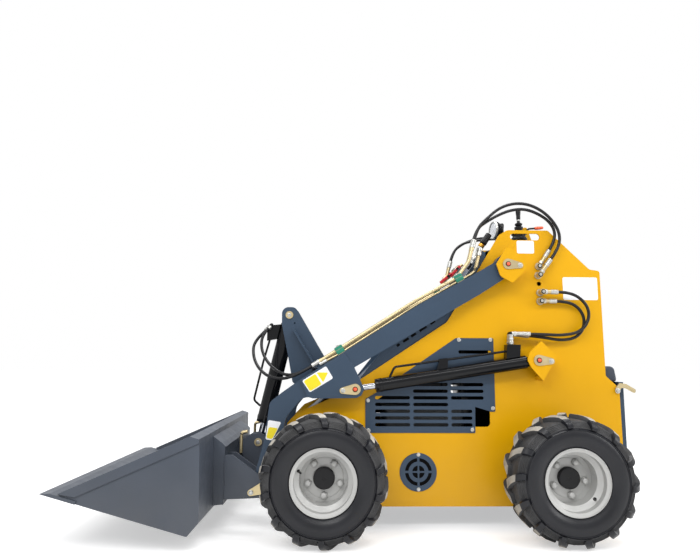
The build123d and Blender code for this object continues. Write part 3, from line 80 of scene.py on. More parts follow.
def place_camera():
    data = bpy.data.cameras.new("camera")
    data.sensor_width = SENSOR_MM
    data.lens = SENSOR_MM * FOCAL_PX / IMAGE_W
    data.shift_x = -(CENTRE_PX[0] - IMAGE_W / 2) / IMAGE_W
    data.shift_y = (CENTRE_PX[1] - IMAGE_H / 2) / IMAGE_W
    data.clip_start = 0.05
    data.clip_end = 60
    camera = linked("camera", data)
    right, forward, up = (
        Matrix(((cos(ROLL), 0, sin(ROLL)), (0, 1, 0), (-sin(ROLL), 0, cos(ROLL))))
        @ Matrix(((1, 0, 0), (0, cos(PITCH), sin(PITCH)), (0, -sin(PITCH), cos(PITCH))))
        @ Matrix(((cos(YAW), sin(YAW), 0), (-sin(YAW), cos(YAW), 0), (0, 0, 1)))
    )
    axes = Matrix((right, up, -forward)).transposed().to_4x4()
    camera.matrix_world = moved(CAMERA_AT) @ axes
    scene.camera = camera


place_camera()


# Materials
def linear(red, green, blue):
    """Linear colour from an sRGB one of 0 to 255."""
    shares = [value / 255 for value in (red, green, blue)]
    return (*(s / 12.92 if s <= 0.04045 else ((s + 0.055) / 1.055) ** 2.4 for s in shares), 1)


DUST = linear(150, 142, 126)


def put(node, **values):
    """Node with values on its sockets, whose names have _ for each space."""
    for key, value in values.items():
        node.inputs[key.replace("_", " ")].default_value = value
    return node


class Surface:
    """Node material with small helpers for what most finishes share."""

    def __init__(self, name):
        self.material = bpy.data.materials.new(name)
        self.material.use_nodes = True
        self.tree = self.material.node_tree
        self.shader = self.tree.nodes["Principled BSDF"]
        self.place = self.tree.nodes.new("ShaderNodeTexCoord").outputs["Object"]

    def node(self, kind, **values):
        return put(self.tree.nodes.new("ShaderNode" + kind), **values)

    def link(self, source, socket):
        self.tree.links.new(source, socket)

    def noise(self, scale, detail=4, rough=0.55, stretch=None):
        place = self.place
        if stretch:
            mapping = self.node("Mapping", Scale=stretch)
            self.link(place, mapping.inputs["Vector"])
            place = mapping.outputs["Vector"]
        cloud = self.node("TexNoise", Scale=scale, Detail=detail, Roughness=rough)
        self.link(place, cloud.inputs["Vector"])
        return cloud.outputs["Fac"]

    def ramp(self, source, stops, socket):
        """Feeds a socket of the shader with a source, as two stops of place and colour."""
        ramp = self.node("ValToRGB")
        for element, (at, color) in zip(ramp.color_ramp.elements, stops):
            element.position = at
            element.color = color
        self.link(source, ramp.inputs["Fac"])
        self.link(ramp.outputs["Color"], self.shader.inputs[socket])

    def bump(self, source, strength, distance):
        node = self.node("Bump", Strength=strength, Distance=distance)
        self.link(source, node.inputs["Height"])
        self.link(node.outputs["Normal"], self.shader.inputs["Normal"])

    def dust(self, low, high, amount):
        """Mixes dust over the base colour below a height, by noise."""
        split = self.node("SeparateXYZ")
        self.link(self.place, split.inputs["Vector"])
        fade = self.node("MapRange", From_Min=low, From_Max=high, To_Min=amount, To_Max=0)
        self.link(split.outputs["Z"], fade.inputs["Value"])
        times = self.node("Math")
        times.operation = "MULTIPLY"
        self.link(fade.outputs["Result"], times.inputs[0])
        self.link(self.noise(9, 6), times.inputs[1])
        mix = self.node("Mix")
        mix.data_type = "RGBA"
        put(mix, B=DUST)
        self.link(times.outputs["Value"], mix.inputs["Factor"])
        base = self.shader.inputs["Base Color"]
        self.link(base.links[0].from_socket, mix.inputs["A"])
        self.link(mix.outputs["Result"], base)


SURFACES = {}


def varied(name, color, spread, rough, scale, grain=None, specular=0.5, **values):
    """Finish whose colour and roughness vary a little.

    The grain is a fine noise's scale and detail and its bump's strength and distance.
    """
    surface = Surface(name)
    put(surface.shader, Specular_IOR_Level=specular, **values)
    mean = linear(*color)[:3]
    darker = (*(c * (1 - spread) for c in mean), 1)
    lighter = (*(min(1, c * (1 + spread)) for c in mean), 1)
    surface.ramp(surface.noise(scale, 5), ((0.3, darker), (0.7, lighter)), "Base Color")
    smooth, coarse = [(level, level, level, 1) for level in (rough * 0.85, rough * 1.2)]
    surface.ramp(surface.noise(scale * 7, 5), ((0.25, smooth), (0.8, coarse)), "Roughness")
    if grain:
        surface.bump(surface.noise(*grain[:2]), *grain[2:])
    SURFACES[name] = surface
    return surface


yellow = varied("yellow_paint", (208, 154, 2), 0.05, 0.34, 2, (260, 2, 0.08, 0.001), 0.22)
yellow.dust(0.1, 0.45, 0.10)
dark = varied("dark_paint", (48, 64, 82), 0.08, 0.36, 3, (240, 2, 0.08, 0.001), 0.3)
bucket_gray = varied("bucket_paint", (68, 74, 84), 0.1, 0.44, 3, (200, 3, 0.1, 0.001), 0.28)
bucket_gray.dust(0.0, 0.4, 0.16)
black = varied("black_paint", (11, 12, 15), 0.12, 0.17, 4, (260, 2, 0.05, 0.001), 0.22)
varied("engine_iron", (60, 62, 64), 0.3, 0.6, 9, (90, 4, 0.3, 0.002), Metallic=0.4)
zinc = varied("zinc", (186, 170, 132), 0.16, 0.34, 14, (160, 3, 0.1, 0.001), Metallic=0.8)
pale_zinc = varied(
    "pale_zinc", (178, 178, 174), 0.16, 0.32, 30, (300, 2, 0.1, 0.0005), Metallic=0.75
)
chrome = varied("chrome", (168, 171, 177), 0.02, 0.12, 6, Metallic=1.0)
chrome.bump(chrome.noise(60, 2, 0.5, (1, 1, 12)), 0.02, 0.0005)
pad_rubber = varied("pad_rubber", (38, 46, 60), 0.1, 0.55, 6, (420, 3, 0.25, 0.001))
black_plastic = varied("black_plastic", (14, 14, 16), 0.1, 0.45, 8, (500, 2, 0.2, 0.0005), 0.25)
hose_rubber = varied("hose_rubber", (14, 14, 17), 0.15, 0.34, 12, (300, 2, 0.06, 0.0003), 0.3)
rim_silver = varied(
    "rim_silver", (172, 172, 170), 0.05, 0.42, 5, (220, 2, 0.08, 0.0008), Metallic=0.15
)
tyre_rubber = varied("tyre_rubber", (19, 20, 25), 0.2, 0.33, 7, (150, 5, 0.35, 0.0012), 0.32)
tread_rubber = varied("tread_rubber", (60, 60, 61), 0.3, 0.62, 16, (180, 5, 0.4, 0.001), 0.2)
# Lug crowns: paler partly from dust and wear, partly a painted highlight of the light on their
# tops
lug_face = varied("lug_face", (158, 153, 144), 0.24, 0.78, 22, (160, 5, 0.4, 0.001), 0.2)
green_plastic = varied("green_plastic", (18, 116, 92), 0.08, 0.4, 20)
orange_plastic = varied("orange_plastic", (222, 88, 50), 0.06, 0.45, 30)
red_plastic = varied("red_plastic", (196, 30, 44), 0.06, 0.4, 30)
brass = varied("brass", (202, 150, 60), 0.08, 0.32, 24, Metallic=0.9)
lens = varied(
    "lens", (206, 209, 214), 0.05, 0.14, 30, Metallic=0.55, Coat_Weight=1.0, Coat_Roughness=0.03
)
# Near-black finish: painted shade in holes, gaps and slots, and real black print on the gauge's
# marks
painted_shade_and_ink = varied("painted_shade_and_ink", (9, 9, 10), 0.2, 0.8, 30, specular=0.05)
white_label = varied("white_label", (228, 229, 232), 0.02, 0.4, 30)
yellow_label = varied("yellow_label", (226, 206, 20), 0.03, 0.4, 30)

for entry in frame["record"]["subparts"]:
    finish = SURFACES[entry["material_slot"]]
    nodes[entry["node"]].data.materials.clear()
    nodes[entry["node"]].data.materials.append(finish.material)


# Forms, which are bmeshes, and the pieces made of them
def mm(x, y, z):
    """Point in metres from one in mm."""
    return Vector((x / 1000, y / 1000, z / 1000))


def scaled(rows):
    """Rows in mm as metres."""
    return [(a / 1000, b / 1000) for a, b in rows]


def shade(thing, angle):
    """Smooth shading up to an angle, by the mesh's own sharp edges."""
    form = bmesh.new()
    form.from_mesh(thing.data)
    for face in form.faces:
        face.smooth = True
    for edge in form.edges:
        if len(edge.link_faces) == 2 and edge.calc_face_angle(0) > radians(angle):
            edge.smooth = False
    form.to_mesh(thing.data)
    form.free()


def piece(name, shape, surface, body="body", smooth=35):
    """Links a mesh or a list of placed forms, with a finish, and lets it ride on a body."""
    mesh = joined(shape) if isinstance(shape, list) else shape
    made = linked(name, mesh)
    mesh.materials.append(surface.material)
    shade(made, smooth)
    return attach(made, body)


def mesh_of(form, name):
    """Mesh of a finished form."""
    mesh = bpy.data.meshes.new(name)
    form.to_mesh(mesh)
    form.free()
    return mesh


def joined(forms):
    """One mesh from several forms, each with the matrix that puts it in place."""
    whole = bmesh.new()
    for form, matrix in forms:
        part = mesh_of(form, "part")
        part.transform(matrix)
        whole.from_mesh(part)
        bpy.data.meshes.remove(part)
    return mesh_of(whole, "joined")


def sealed(form):
    """Form whose faces all look outward."""
    bmesh.ops.recalc_face_normals(form, faces=form.faces)
    return form


def skin(form, rings):
    """Faces from each closed ring of corners to the next."""
    for low, high in zip(rings, rings[1:]):
        for k in range(len(low)):
            after = (k + 1) % len(low)
            form.faces.new((low[k], low[after], high[after], high[k]))


def lathe(rows, steps=32):
    """Form of rows of radius and height turned about Z."""
    form = bmesh.new()
    rings = []
    for radius, height in rows:
        around = steps if radius > 1e-6 else 1
        rings.append([])
        for k in range(around):
            angle = 2 * pi * k / steps
            rings[-1].append(form.verts.new((radius * cos(angle), radius * sin(angle), height)))
    for low, high in zip(rings, rings[1:]):
        if len(low) == len(high):
            if len(low) > 1:
                skin(form, [low, high])
            continue
        for k in range(steps):
            after = (k + 1) % steps
            if len(low) == 1:
                form.faces.new((low[0], high[after], high[k]))
            else:
                form.faces.new((low[k], low[after], high[0]))
    return sealed(form)


def lathed(name, rows, spot, surface, body="body", steps=32, smooth=35):
    """Piece of a section in mm, turned about a matrix's local Z."""
    return piece(name, [(lathe(scaled(rows), steps), spot)], surface, body, smooth)


def prism(corners, low, high):
    """Form of a flat outline in XY between two heights."""
    form = bmesh.new()
    bottom = [form.verts.new((x, y, low)) for x, y in corners]
    top = [form.verts.new((x, y, high)) for x, y in corners]
    form.faces.new(bottom)
    form.faces.new(top)
    skin(form, [bottom, top])
    return sealed(form)


def bevelled(form, offset, segments, profile=0.5):
    bmesh.ops.bevel(
        form, geom=form.edges[:], offset=offset, segments=segments, affect="EDGES", profile=profile
    )
    return form


def hexagon(radius, low, high):
    corners = [(radius * cos(pi * k / 3), radius * sin(pi * k / 3)) for k in range(6)]
    return bevelled(prism(corners, low, high), radius * 0.08, 1)


def block(size, bevel, matrix):
    """Form of a box with bevelled edges, with the matrix that it is centred on."""
    form = bmesh.new()
    bmesh.ops.create_cube(form, size=1, matrix=Matrix.Diagonal((*size, 1)))
    return bevelled(form, bevel, 2, 0.6), matrix


def facing(point, normal, spin=0.0):
    """Matrix that puts local +Z along a normal at a point."""
    turn = Vector(normal).to_track_quat("Z", "Y").to_matrix().to_4x4()
    return moved(point) @ turn @ Matrix.Rotation(spin, 4, "Z")


def frame_at(origin, x_way, z_way):
    """Matrix with local X and Z along two ways that are square to each other."""
    x_way, z_way = Vector(x_way).normalized(), Vector(z_way).normalized()
    turn = Matrix((x_way, z_way.cross(x_way), z_way)).transposed().to_4x4()
    return moved(origin) @ turn


# Hoses: the routes of part.py in mm, as control points of smooth curves
HOSE_D = 0.016


def on_leg(start, toward, run):
    leg = Vector(toward) - Vector(start)
    return Vector(start) + leg.normalized() * run


def hose(name, points):
    """Tube round a NURBS line through a route between two bodies; it stays where it is made and
    hides the CAD hose.
    """
    curve = bpy.data.curves.new(name, "CURVE")
    curve.dimensions = "3D"
    spline = curve.splines.new("NURBS")
    spline.points.add(len(points) - 1)
    for point, place in zip(spline.points, points):
        point.co = (*place, 1)
    spline.order_u = 3
    spline.use_endpoint_u = True
    spline.resolution_u = 10
    line = linked(name + "_line", curve)
    bpy.context.view_layer.update()
    read = bpy.data.meshes.new_from_object(line)
    curve.bevel_depth = HOSE_D / 2
    curve.bevel_resolution = 5
    curve.use_fill_caps = True
    bpy.context.view_layer.update()
    mesh = bpy.data.meshes.new_from_object(line)
    bpy.data.objects.remove(line)
    mesh.materials.clear()
    mesh.materials.append(hose_rubber.material)
    tube = linked(name + "_tube", mesh)
    shade(tube, 40)
    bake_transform(tube)
    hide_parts(name)


# What the fittings take of a route's first or last leg
PLATE_LEAD = 100
RAM_LEAD = 77
RAM_TAIL = 98
TILT_TAIL = 30
FRONT_MOUTH = (-251.9, 797.4)
FRONT_NEXT = (-311.8, 759.4)
BACK_MOUTH = (580.9, 1449.0)
BACK_NEXT = (599.5, 1516.5)
OUTER_Y, INNER_Y = 306, 284
OUTER_TAIL = [(x, OUTER_Y, z) for x, z in (BACK_NEXT, BACK_MOUTH)]
INNER_TAIL = [(x, INNER_Y, z) for x, z in (BACK_NEXT, BACK_MOUTH)]
ARM_ROUTES = {
    ("outer", "left"): [
        (924, 294, 1273), (1028, 294, 1412), (1042, 294, 1486), (1012, 293, 1556),
        (955, 291, 1616), (880, 289, 1654), (800, 289, 1658), (722, 293, 1630),
        (655, 299, 1572), *OUTER_TAIL,
    ],
    ("inner", "left"): [
        (929, 276, 1322), (1012, 276, 1448), (1024, 275, 1508), (996, 274, 1564),
        (938, 273, 1606), (868, 273, 1632), (795, 274, 1626), (728, 276, 1600),
        (662, 280, 1562), *INNER_TAIL,
    ],
    ("outer", "right"): [
        (924, 294, 1273), (1022, 294, 1404), (1034, 294, 1472), (1004, 293, 1532),
        (942, 291, 1580), (864, 289, 1604), (784, 290, 1608), (712, 294, 1590),
        (654, 300, 1562), *OUTER_TAIL,
    ],
    ("inner", "right"): [
        (929, 276, 1322), (1006, 276, 1439), (1018, 275, 1492), (1000, 274, 1544),
        (958, 273, 1580), (900, 273, 1596), (832, 274, 1596), (764, 275, 1588),
        (707, 278, 1579), (651, 281, 1563), *INNER_TAIL,
    ],
}
RAM_ROUTES = {
    "upper": [
        (931, 306, 1182), (1068, 306, 1180), (1130, 306, 1149), (1169, 306, 1092),
        (1160, 306, 1024), (1110, 306, 972), (1020, 308, 957), (930, 313, 961),
        (753, 315, 964),
    ],
    "lower": [
        (929, 286, 1136), (1064, 286, 1134), (1122, 286, 1106), (1152, 286, 1050),
        (1142, 286, 988), (1097, 288, 944), (1018, 290, 932), (930, 292, 948),
        (753, 293, 964),
    ],
}
TILT_ROUTES = {
    "near": [
        (FRONT_MOUTH[0], INNER_Y, FRONT_MOUTH[1]), (FRONT_NEXT[0], INNER_Y, FRONT_NEXT[1]),
        (-385, 258, 745), (-452, 212, 775), (-508, 162, 825), (-542, 108, 890),
        (-545, 60, 960), (-500, 20, 1020),
    ],
    "far": [
        (FRONT_MOUTH[0], OUTER_Y, FRONT_MOUTH[1]), (FRONT_NEXT[0], OUTER_Y, FRONT_NEXT[1]),
        (-398, 284, 728), (-480, 238, 738), (-545, 180, 784), (-584, 116, 852),
        (-588, 56, 930), (-516, -8, 1008),
    ],
}


def trimmed(route, side, lead, tail):
    """Route of one side in metres, cut back from its first and last fitting."""
    corners = [Vector((x, side * y, z)) for x, y, z in route]
    start = on_leg(corners[0], corners[1], lead)
    end = on_leg(corners[-1], corners[-2], tail)
    return [corner / 1000 for corner in (start, *corners[1:-1], end)]


# Each hose's two sleeves: name, route's end and next point, length, place of its nut, body
SLEEVES = []
for side_name, side in SIDES:
    for which in ("outer", "inner"):
        route = trimmed(ARM_ROUTES[(which, side_name)], side, PLATE_LEAD, 0)
        name = f"arm_hose_{which}_{side_name}"
        hose(name, route)
        SLEEVES += [
            (f"arm_{which}_{side_name}_foot", route[0], route[1], 44, 74, "body"),
            (f"arm_{which}_{side_name}_head", route[-1], route[-2], 42, None, "lift_arms"),
        ]
    ram = f"lift_barrel_{side_name}_body"
    for which, corners in RAM_ROUTES.items():
        route = trimmed(corners, side, RAM_LEAD, RAM_TAIL)
        name = f"ram_hose_{which}_{side_name}"
        hose(name, route)
        SLEEVES += [
            (f"ram_{which}_{side_name}_foot", route[0], route[1], 38, 56, "body"),
            (f"ram_{which}_{side_name}_head", route[-1], route[-2], 42, 74, ram),
        ]
for which, corners in TILT_ROUTES.items():
    route = trimmed(corners, -1, 0, TILT_TAIL)
    hose(f"tilt_hose_{which}", route)
    SLEEVES += [
        (f"tilt_{which}_foot", route[0], route[1], 42, None, "lift_arms"),
        (f"tilt_{which}_head", route[-1], route[-2], 20, None, "tilt_barrel_body"),
    ]

# Wheels: a tyre with a bulged side, ridges and swept lugs stands for each CAD tyre
SIDE_ROWS = [
    (137.4, 80), (149.4, 88), (152, 91), (155, 94.4), (157.4, 93.6), (162, 95.8), (168, 99.8),
    (177, 104.2), (188, 107.2), (200, 108.3), (211, 107.6), (219, 105.6), (225, 103),
    (226.4, 103.2), (227.6, 105), (229.6, 105), (230.8, 102.8), (232.4, 100.4), (234, 99.6),
    (236, 101.4),
]
SHOULDER_ROWS = [(268, 74), (271, 58), (272, 40)]
RIDGE_COUNT = 5
RIDGE_STEP = 5.6
RIDGE_ROWS = ((-1.4, 2.2), (0.6, 2.6), (1.6, -1.2), (3, -2.4))
# Along a lug from the tyre's middle to the shoulder: y, radius, and the outward direction
LUG_ROWS = [
    (-7, 290, 0, 1), (-2, 292, 0, 1), (30, 292, 0, 1), (54, 291, 0.1, 0.99),
    (72, 287.5, 0.3, 0.95), (86, 280, 0.58, 0.81), (97, 269, 0.78, 0.63),
    (104.5, 257, 0.92, 0.4), (108.2, 246, 1, 0.1), (107, 239.5, 1, 0),
]
# Across a lug: the side, how far it stands past the half width, and its depth
LUG_SECTION = ((-1, 3, 26), (-1, 0, 4), (-1, -3, 0), (1, -3, 0), (1, 0, 4), (1, 3, 26))
LUG_COUNT = 14
LUG_SWEEP = 62
LUG_HALF = 23
LUG_TAPER = 6
TREAD_R = 292
TREAD_FROM = 0.2375
TREAD_STEPS = 5
# Places of a tyre's other finishes, after its plain rubber: the tread, and the lug crowns, whose
# pale finish is partly wear and partly a painted highlight
TREAD, WORN_AND_LIT = 1, 2
WHEELS_TURNED = {"front": 36, "rear": 44}


def tyre_section():
    """Whole section of the carcass, with fine ridges on each shoulder."""
    half = list(SIDE_ROWS)
    for ridge in range(RIDGE_COUNT):
        radius = 240 + RIDGE_STEP * ridge
        y = 99.6 - 0.84 * (radius - 237)
        half += [(radius + out, y + up) for out, up in RIDGE_ROWS]
    half += SHOULDER_ROWS
    return scaled(half + [(r, -y) for r, y in reversed(half)])


def add_lug(form, base, sign):
    rings = []
    for y, radius, out_y, out_r in LUG_ROWS:
        share = min(1, max(0, (y + 6) / 118))
        half = LUG_HALF - LUG_TAPER * share
        ring = []
        for edge, past, depth in LUG_SECTION:
            r = (radius - out_r * depth) / 1000
            turn = base + (LUG_SWEEP * share + edge * (half + past)) / TREAD_R
            place = (r * sin(turn), sign * (y - out_y * depth) / 1000, r * cos(turn))
            ring.append(form.verts.new(place))
        rings.append(ring)
    for row, (low, high) in enumerate(zip(rings, rings[1:])):
        for k in range(len(LUG_SECTION) - 1):
            face = form.faces.new((low[k], low[k + 1], high[k + 1], high[k]))
            if row < TREAD_STEPS:
                face.material_index = WORN_AND_LIT if k == 2 else TREAD
    for ring in (rings[0], rings[-1]):
        form.faces.new(ring).material_index = TREAD


def tyre_mesh():
    form = lathe(tyre_section(), 112)
    for face in form.faces:
        middle = face.calc_center_median()
        if hypot(middle.x, middle.y) > TREAD_FROM:
            face.material_index = TREAD
    bmesh.ops.rotate(form, verts=form.verts, matrix=Matrix.Rotation(pi / 2, 3, "X"))
    for lug in range(LUG_COUNT):
        turn = 2 * pi * lug / LUG_COUNT
        add_lug(form, turn, -1)
        add_lug(form, turn + pi / LUG_COUNT, 1)
    return mesh_of(sealed(form), "tyre")


HUB_ROWS = [
    (0, -20), (49.4, -20), (49.4, 1), (48.4, 4.4), (46, 5.6), (44, 5.8), (43, 5), (8, 5),
    (7.2, 4.2), (0, 4.2),
]
RIM_PAD_ROWS = [(47, -17.4), (86, -17.4), (89.6, -18.2), (91.4, -20.4)]
NUT_TOP_ROWS = [(15, -9), (15, -3), (13.4, 0.4), (9.5, 2.8), (4.5, 4), (0, 4.2)]
NUT_COUNT = 5
NUT_CIRCLE_R = 0.078
VALVE_ROWS = [
    (0, 0), (7.5, 0), (7.5, 2), (5.2, 5), (4.6, 20), (5, 21), (5, 31), (4.2, 32), (0, 32),
]
# Where the photograph shows each end's valve, in degrees from +X towards +Z
VALVE_ANGLES = {"front": 159.6, "rear": -41.4}
VALVE_R, VALVE_Y = 0.121, -0.047
OUTWARD = Matrix.Rotation(pi / 2, 4, "X")
tyre_form = tyre_mesh()
for end, x in ENDS:
    for side_name, side in SIDES:
        body = f"wheel_{end}_{side_name}"
        still = moved((x, side * TRACK / 2, AXLE_Z))
        if side > 0:
            still = still @ Matrix.Rotation(pi, 4, "Z")
        turned = still @ Matrix.Rotation(-radians(WHEELS_TURNED[end]), 4, "Y")
        mesh = tyre_form.copy()
        mesh.transform(turned)
        tyre = piece(f"{body}_tyre", mesh, tyre_rubber, body, 30)
        mesh.materials.append(tread_rubber.material)
        mesh.materials.append(lug_face.material)
        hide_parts(f"tyre_{end}_{side_name}")
        lathed(f"{body}_hub", HUB_ROWS, turned @ OUTWARD, black_plastic, body, 48)
        lathed(f"{body}_pad", RIM_PAD_ROWS, turned @ OUTWARD, rim_silver, body, 64)
        nuts = []
        for k in range(NUT_COUNT):
            angle = radians(90 + 360 / NUT_COUNT * k)
            place = (NUT_CIRCLE_R * cos(angle), 0, NUT_CIRCLE_R * sin(angle))
            spot = turned @ moved(place) @ OUTWARD
            foot = spot @ Matrix.Rotation(angle, 4, "Z")
            nuts.append((hexagon(0.0186, -0.0196, -0.0085), foot))
            nuts.append((lathe(scaled(NUT_TOP_ROWS), 24), spot))
        piece(f"{body}_nuts", nuts, rim_silver, body)
        angle = radians(VALVE_ANGLES[end])
        out = Vector((cos(angle), 0, sin(angle)))
        root = out * VALVE_R + Vector((0, VALVE_Y, 0))
        spot = still @ facing(root, Vector((0, -1, 0)) - out * 0.5)
        lathed(f"{body}_valve", VALVE_ROWS, spot, black_plastic, body, 20)

# Pins: grease caps, each in a near-black ring of painted shade, and the bolts that hold their
# keepers
CAP_ROWS = [(0, 0), (9.6, 0), (9.6, 3.4), (8.4, 5), (5, 6.2), (0, 6.6)]
CAP_SHADE_ROWS = [(9, 0), (13.4, 0), (13.4, 1), (12.4, 1.8), (9, 1.8)]
WASHER_ROWS = [(0, 0), (11.6, 0), (11.6, 1.4), (10.8, 1.9), (0, 1.9)]
HEAD_ROWS = [(0, 0), (11, 0), (11, 0.8), (9.6, 1.4), (3, 1.4), (2.4, 0.8), (0, 0.7)]
# Pins of the cylinders' bases and rods, in x and z
LIFT_BASE, LIFT_ROD = (880, 830), (-38, 683)
TILT_BASE, TILT_ROD = (-397, 1073), (-554, 384)
# Name, x and z, y of each pin's face, the way of its keeper in degrees, and its body
PINS = (
    ("pivot_pin", (740, 1317), 357, -6, "body"),
    ("base_pin", LIFT_BASE, 357, -4, "body"),
    ("rod_pin", LIFT_ROD, 345, 186, "lift_arms"),
    ("tower_pin", TILT_BASE, 67, None, "lift_arms"),
    ("hinge_pin", (-477, 217), 351, 200, "bucket_group"),
    ("ear_pin", TILT_ROD, 43, None, "bucket_group"),
)
KEEPER_RUN = 60


def bolt(point, normal, spin=0.3, size=1.0):
    """Forms of a hex bolt on its washer at a point of a surface, in metres."""
    spot = facing(point, normal, spin) @ Matrix.Scale(size, 4)
    return [(lathe(scaled(WASHER_ROWS), 24), spot), (hexagon(0.0088, 0.0018, 0.0074), spot)]


for name, (x, z), y, angle, body in PINS:
    for side_name, side in SIDES:
        spot = facing(mm(x, side * y, z), (0, side, 0))
        if angle is None:
            lathed(f"{name}_face_{side_name}", HEAD_ROWS, spot, pale_zinc, body)
            continue
        lathed(f"{name}_cap_{side_name}", CAP_ROWS, spot, orange_plastic, body, 28)
        # Near-black ring round the cap: painted shade of the gap round the pin
        lathed(f"{name}_cap_shade_{side_name}", CAP_SHADE_ROWS, spot, painted_shade_and_ink, body)
        tail = radians(angle)
        foot = mm(x + KEEPER_RUN * cos(tail), side * y, z + KEEPER_RUN * sin(tail))
        forms = bolt(foot, (0, side, 0))
        piece(f"{name}_bolt_{side_name}", forms, pale_zinc, body)


# Hose ends: a crimped sleeve, and a hex nut where the fitting has one
def sleeve_rows(length):
    """Section of a crimped sleeve in mm, from the hose's mouth back into the fitting."""
    rows = [(8.4, 0), (11.4, 0), (12.6, 1.6)]
    crimps = max(2, int((length - 12) / 8))
    for k in range(crimps):
        at = 6 + k * (length - 12) / crimps
        rows += [(12.6, at), (11.7, at + 1), (11.7, at + 3.4), (12.6, at + 4.4)]
    return rows + [(12.6, length - 2), (11, length), (8.4, length), (8.4, 0)]


for name, end, along, length, nut_at, body in SLEEVES:
    back = (end - along).normalized()
    spot = facing(end - back * 0.002, back)
    forms = [(lathe(scaled(sleeve_rows(length)), 28), spot)]
    if nut_at:
        forms.append((hexagon(0.0142, nut_at / 1000, (nut_at + 12) / 1000), spot))
    piece(f"sleeve_{name}", forms, pale_zinc, body, 30)

# Elbows on the plates: a hex plug in a near-black ring of painted shadow on each end, and a nut on
# the plate
ELBOW_SHADE_ROWS = [(0, 0), (12.4, 0), (12.4, 0.7), (0, 0.7)]
ELBOWS = ((924, 1273, 305), (929, 1322, 287), (931, 1182, 317), (929, 1136, 297))
NUTS_Y = 0.2721
for side_name, side in SIDES:
    rings, plugs = [], []
    for x, z, y in ELBOWS:
        spot = facing(mm(x, side * y, z), (0, side, 0), 0.2)
        rings.append((lathe(scaled(ELBOW_SHADE_ROWS), 28), spot))
        plugs.append((hexagon(0.0086, 0.0004, 0.0046), spot))
        foot = facing((x / 1000, side * NUTS_Y, z / 1000), (0, side, 0), 0.2)
        plugs.append((hexagon(0.0205, -0.0096, 0.0002), foot))
    # The near-black rings are painted shadow round the plugs
    piece(f"elbow_shade_rings_{side_name}", rings, painted_shade_and_ink)
    piece(f"elbow_plugs_{side_name}", plugs, pale_zinc)

# Pipe clamps: two halves of green plastic, a steel plate on top and two bolts
PIPES_Y = 0.295
LOWER_HALF, UPPER_HALF = (0.043, 0.0485, 0.0215), (0.043, 0.0485, 0.0155)
CLAMP_PLATE = (0.036, 0.046, 0.0022)
# Name, the leg of the pipes that each one is on, in x and z, and how far along it
CLAMPS = (
    ("low", (-308, 731), (293, 1113), 240),
    ("high", (293, 1113), (601, 1284), 242),
)
for name, first, last, run in CLAMPS:
    length = hypot(last[0] - first[0], last[1] - first[1])
    way = Vector(((last[0] - first[0]) / length, 0, (last[1] - first[1]) / length))
    up = Vector((-way.z, 0, way.x))
    for side_name, side in SIDES:
        foot = Vector((first[0] / 1000, side * PIPES_Y, first[1] / 1000)) + way * run / 1000
        halves = [
            block(LOWER_HALF, 0.0022, frame_at(foot + up * 0.0132, way, up)),
            block(UPPER_HALF, 0.0022, frame_at(foot + up * 0.0324, way, up)),
        ]
        piece(f"clamp_{name}_{side_name}", halves, green_plastic, "lift_arms")
        top = foot + up * 0.0402
        steel = [block(CLAMP_PLATE, 0.0008, frame_at(top + up * 0.0011, way, up))]
        for across in (-0.0115, 0.0115):
            steel += bolt(top + Vector((0, across, 0)) + up * 0.002, up, 0.2, 0.72)
        piece(f"clamp_plate_{name}_{side_name}", steel, pale_zinc, "lift_arms")

# Ball valves on the right arm: hex ends, a stem and a red lever on each
STEM_ROWS = [(0, 0), (11, 0), (11, 11), (8, 12), (8, 17), (0, 17)]
INWARD = (0, -1, 0)
LEVER_Y, LEVER_CAP_Y = -0.0358, -0.0378
# Name, both ends in x and z, the hexes' radius and the lever's turn
BALL_VALVES = (
    ("low", (540, 1336), (584, 1372), 19.6, 0.0),
    ("high", (600, 1386), (640, 1419), 18.6, 0.12),
)
for name, start, end, radius, turn in BALL_VALVES:
    start, end = mm(start[0], OUTER_Y, start[1]), mm(end[0], OUTER_Y, end[1])
    way = (end - start).normalized()
    length = (end - start).length
    middle = (start + end) / 2
    forms = [
        (hexagon(radius / 1000, -0.002, 0.012), facing(start, way)),
        (hexagon(radius / 1000, length - 0.012, length + 0.002), facing(start, way)),
        (lathe(scaled(STEM_ROWS), 24), facing(middle + Vector((0, -0.017, 0)), INWARD)),
    ]
    piece(f"ball_valve_{name}", forms, pale_zinc, "lift_arms")
    bar = (way + Vector((-way.z, 0, way.x)) * turn).normalized()
    at = middle + Vector((0, LEVER_Y, 0)) - bar * 0.022
    lever = [block((0.094, 0.017, 0.0045), 0.0018, frame_at(at, bar, INWARD))]
    piece(f"ball_lever_{name}", lever, red_plastic, "lift_arms")
    nut = [(hexagon(0.0095, 0, 0.0042), facing(middle + Vector((0, LEVER_CAP_Y, 0)), INWARD))]
    piece(f"ball_cap_{name}", nut, black_plastic, "lift_arms")

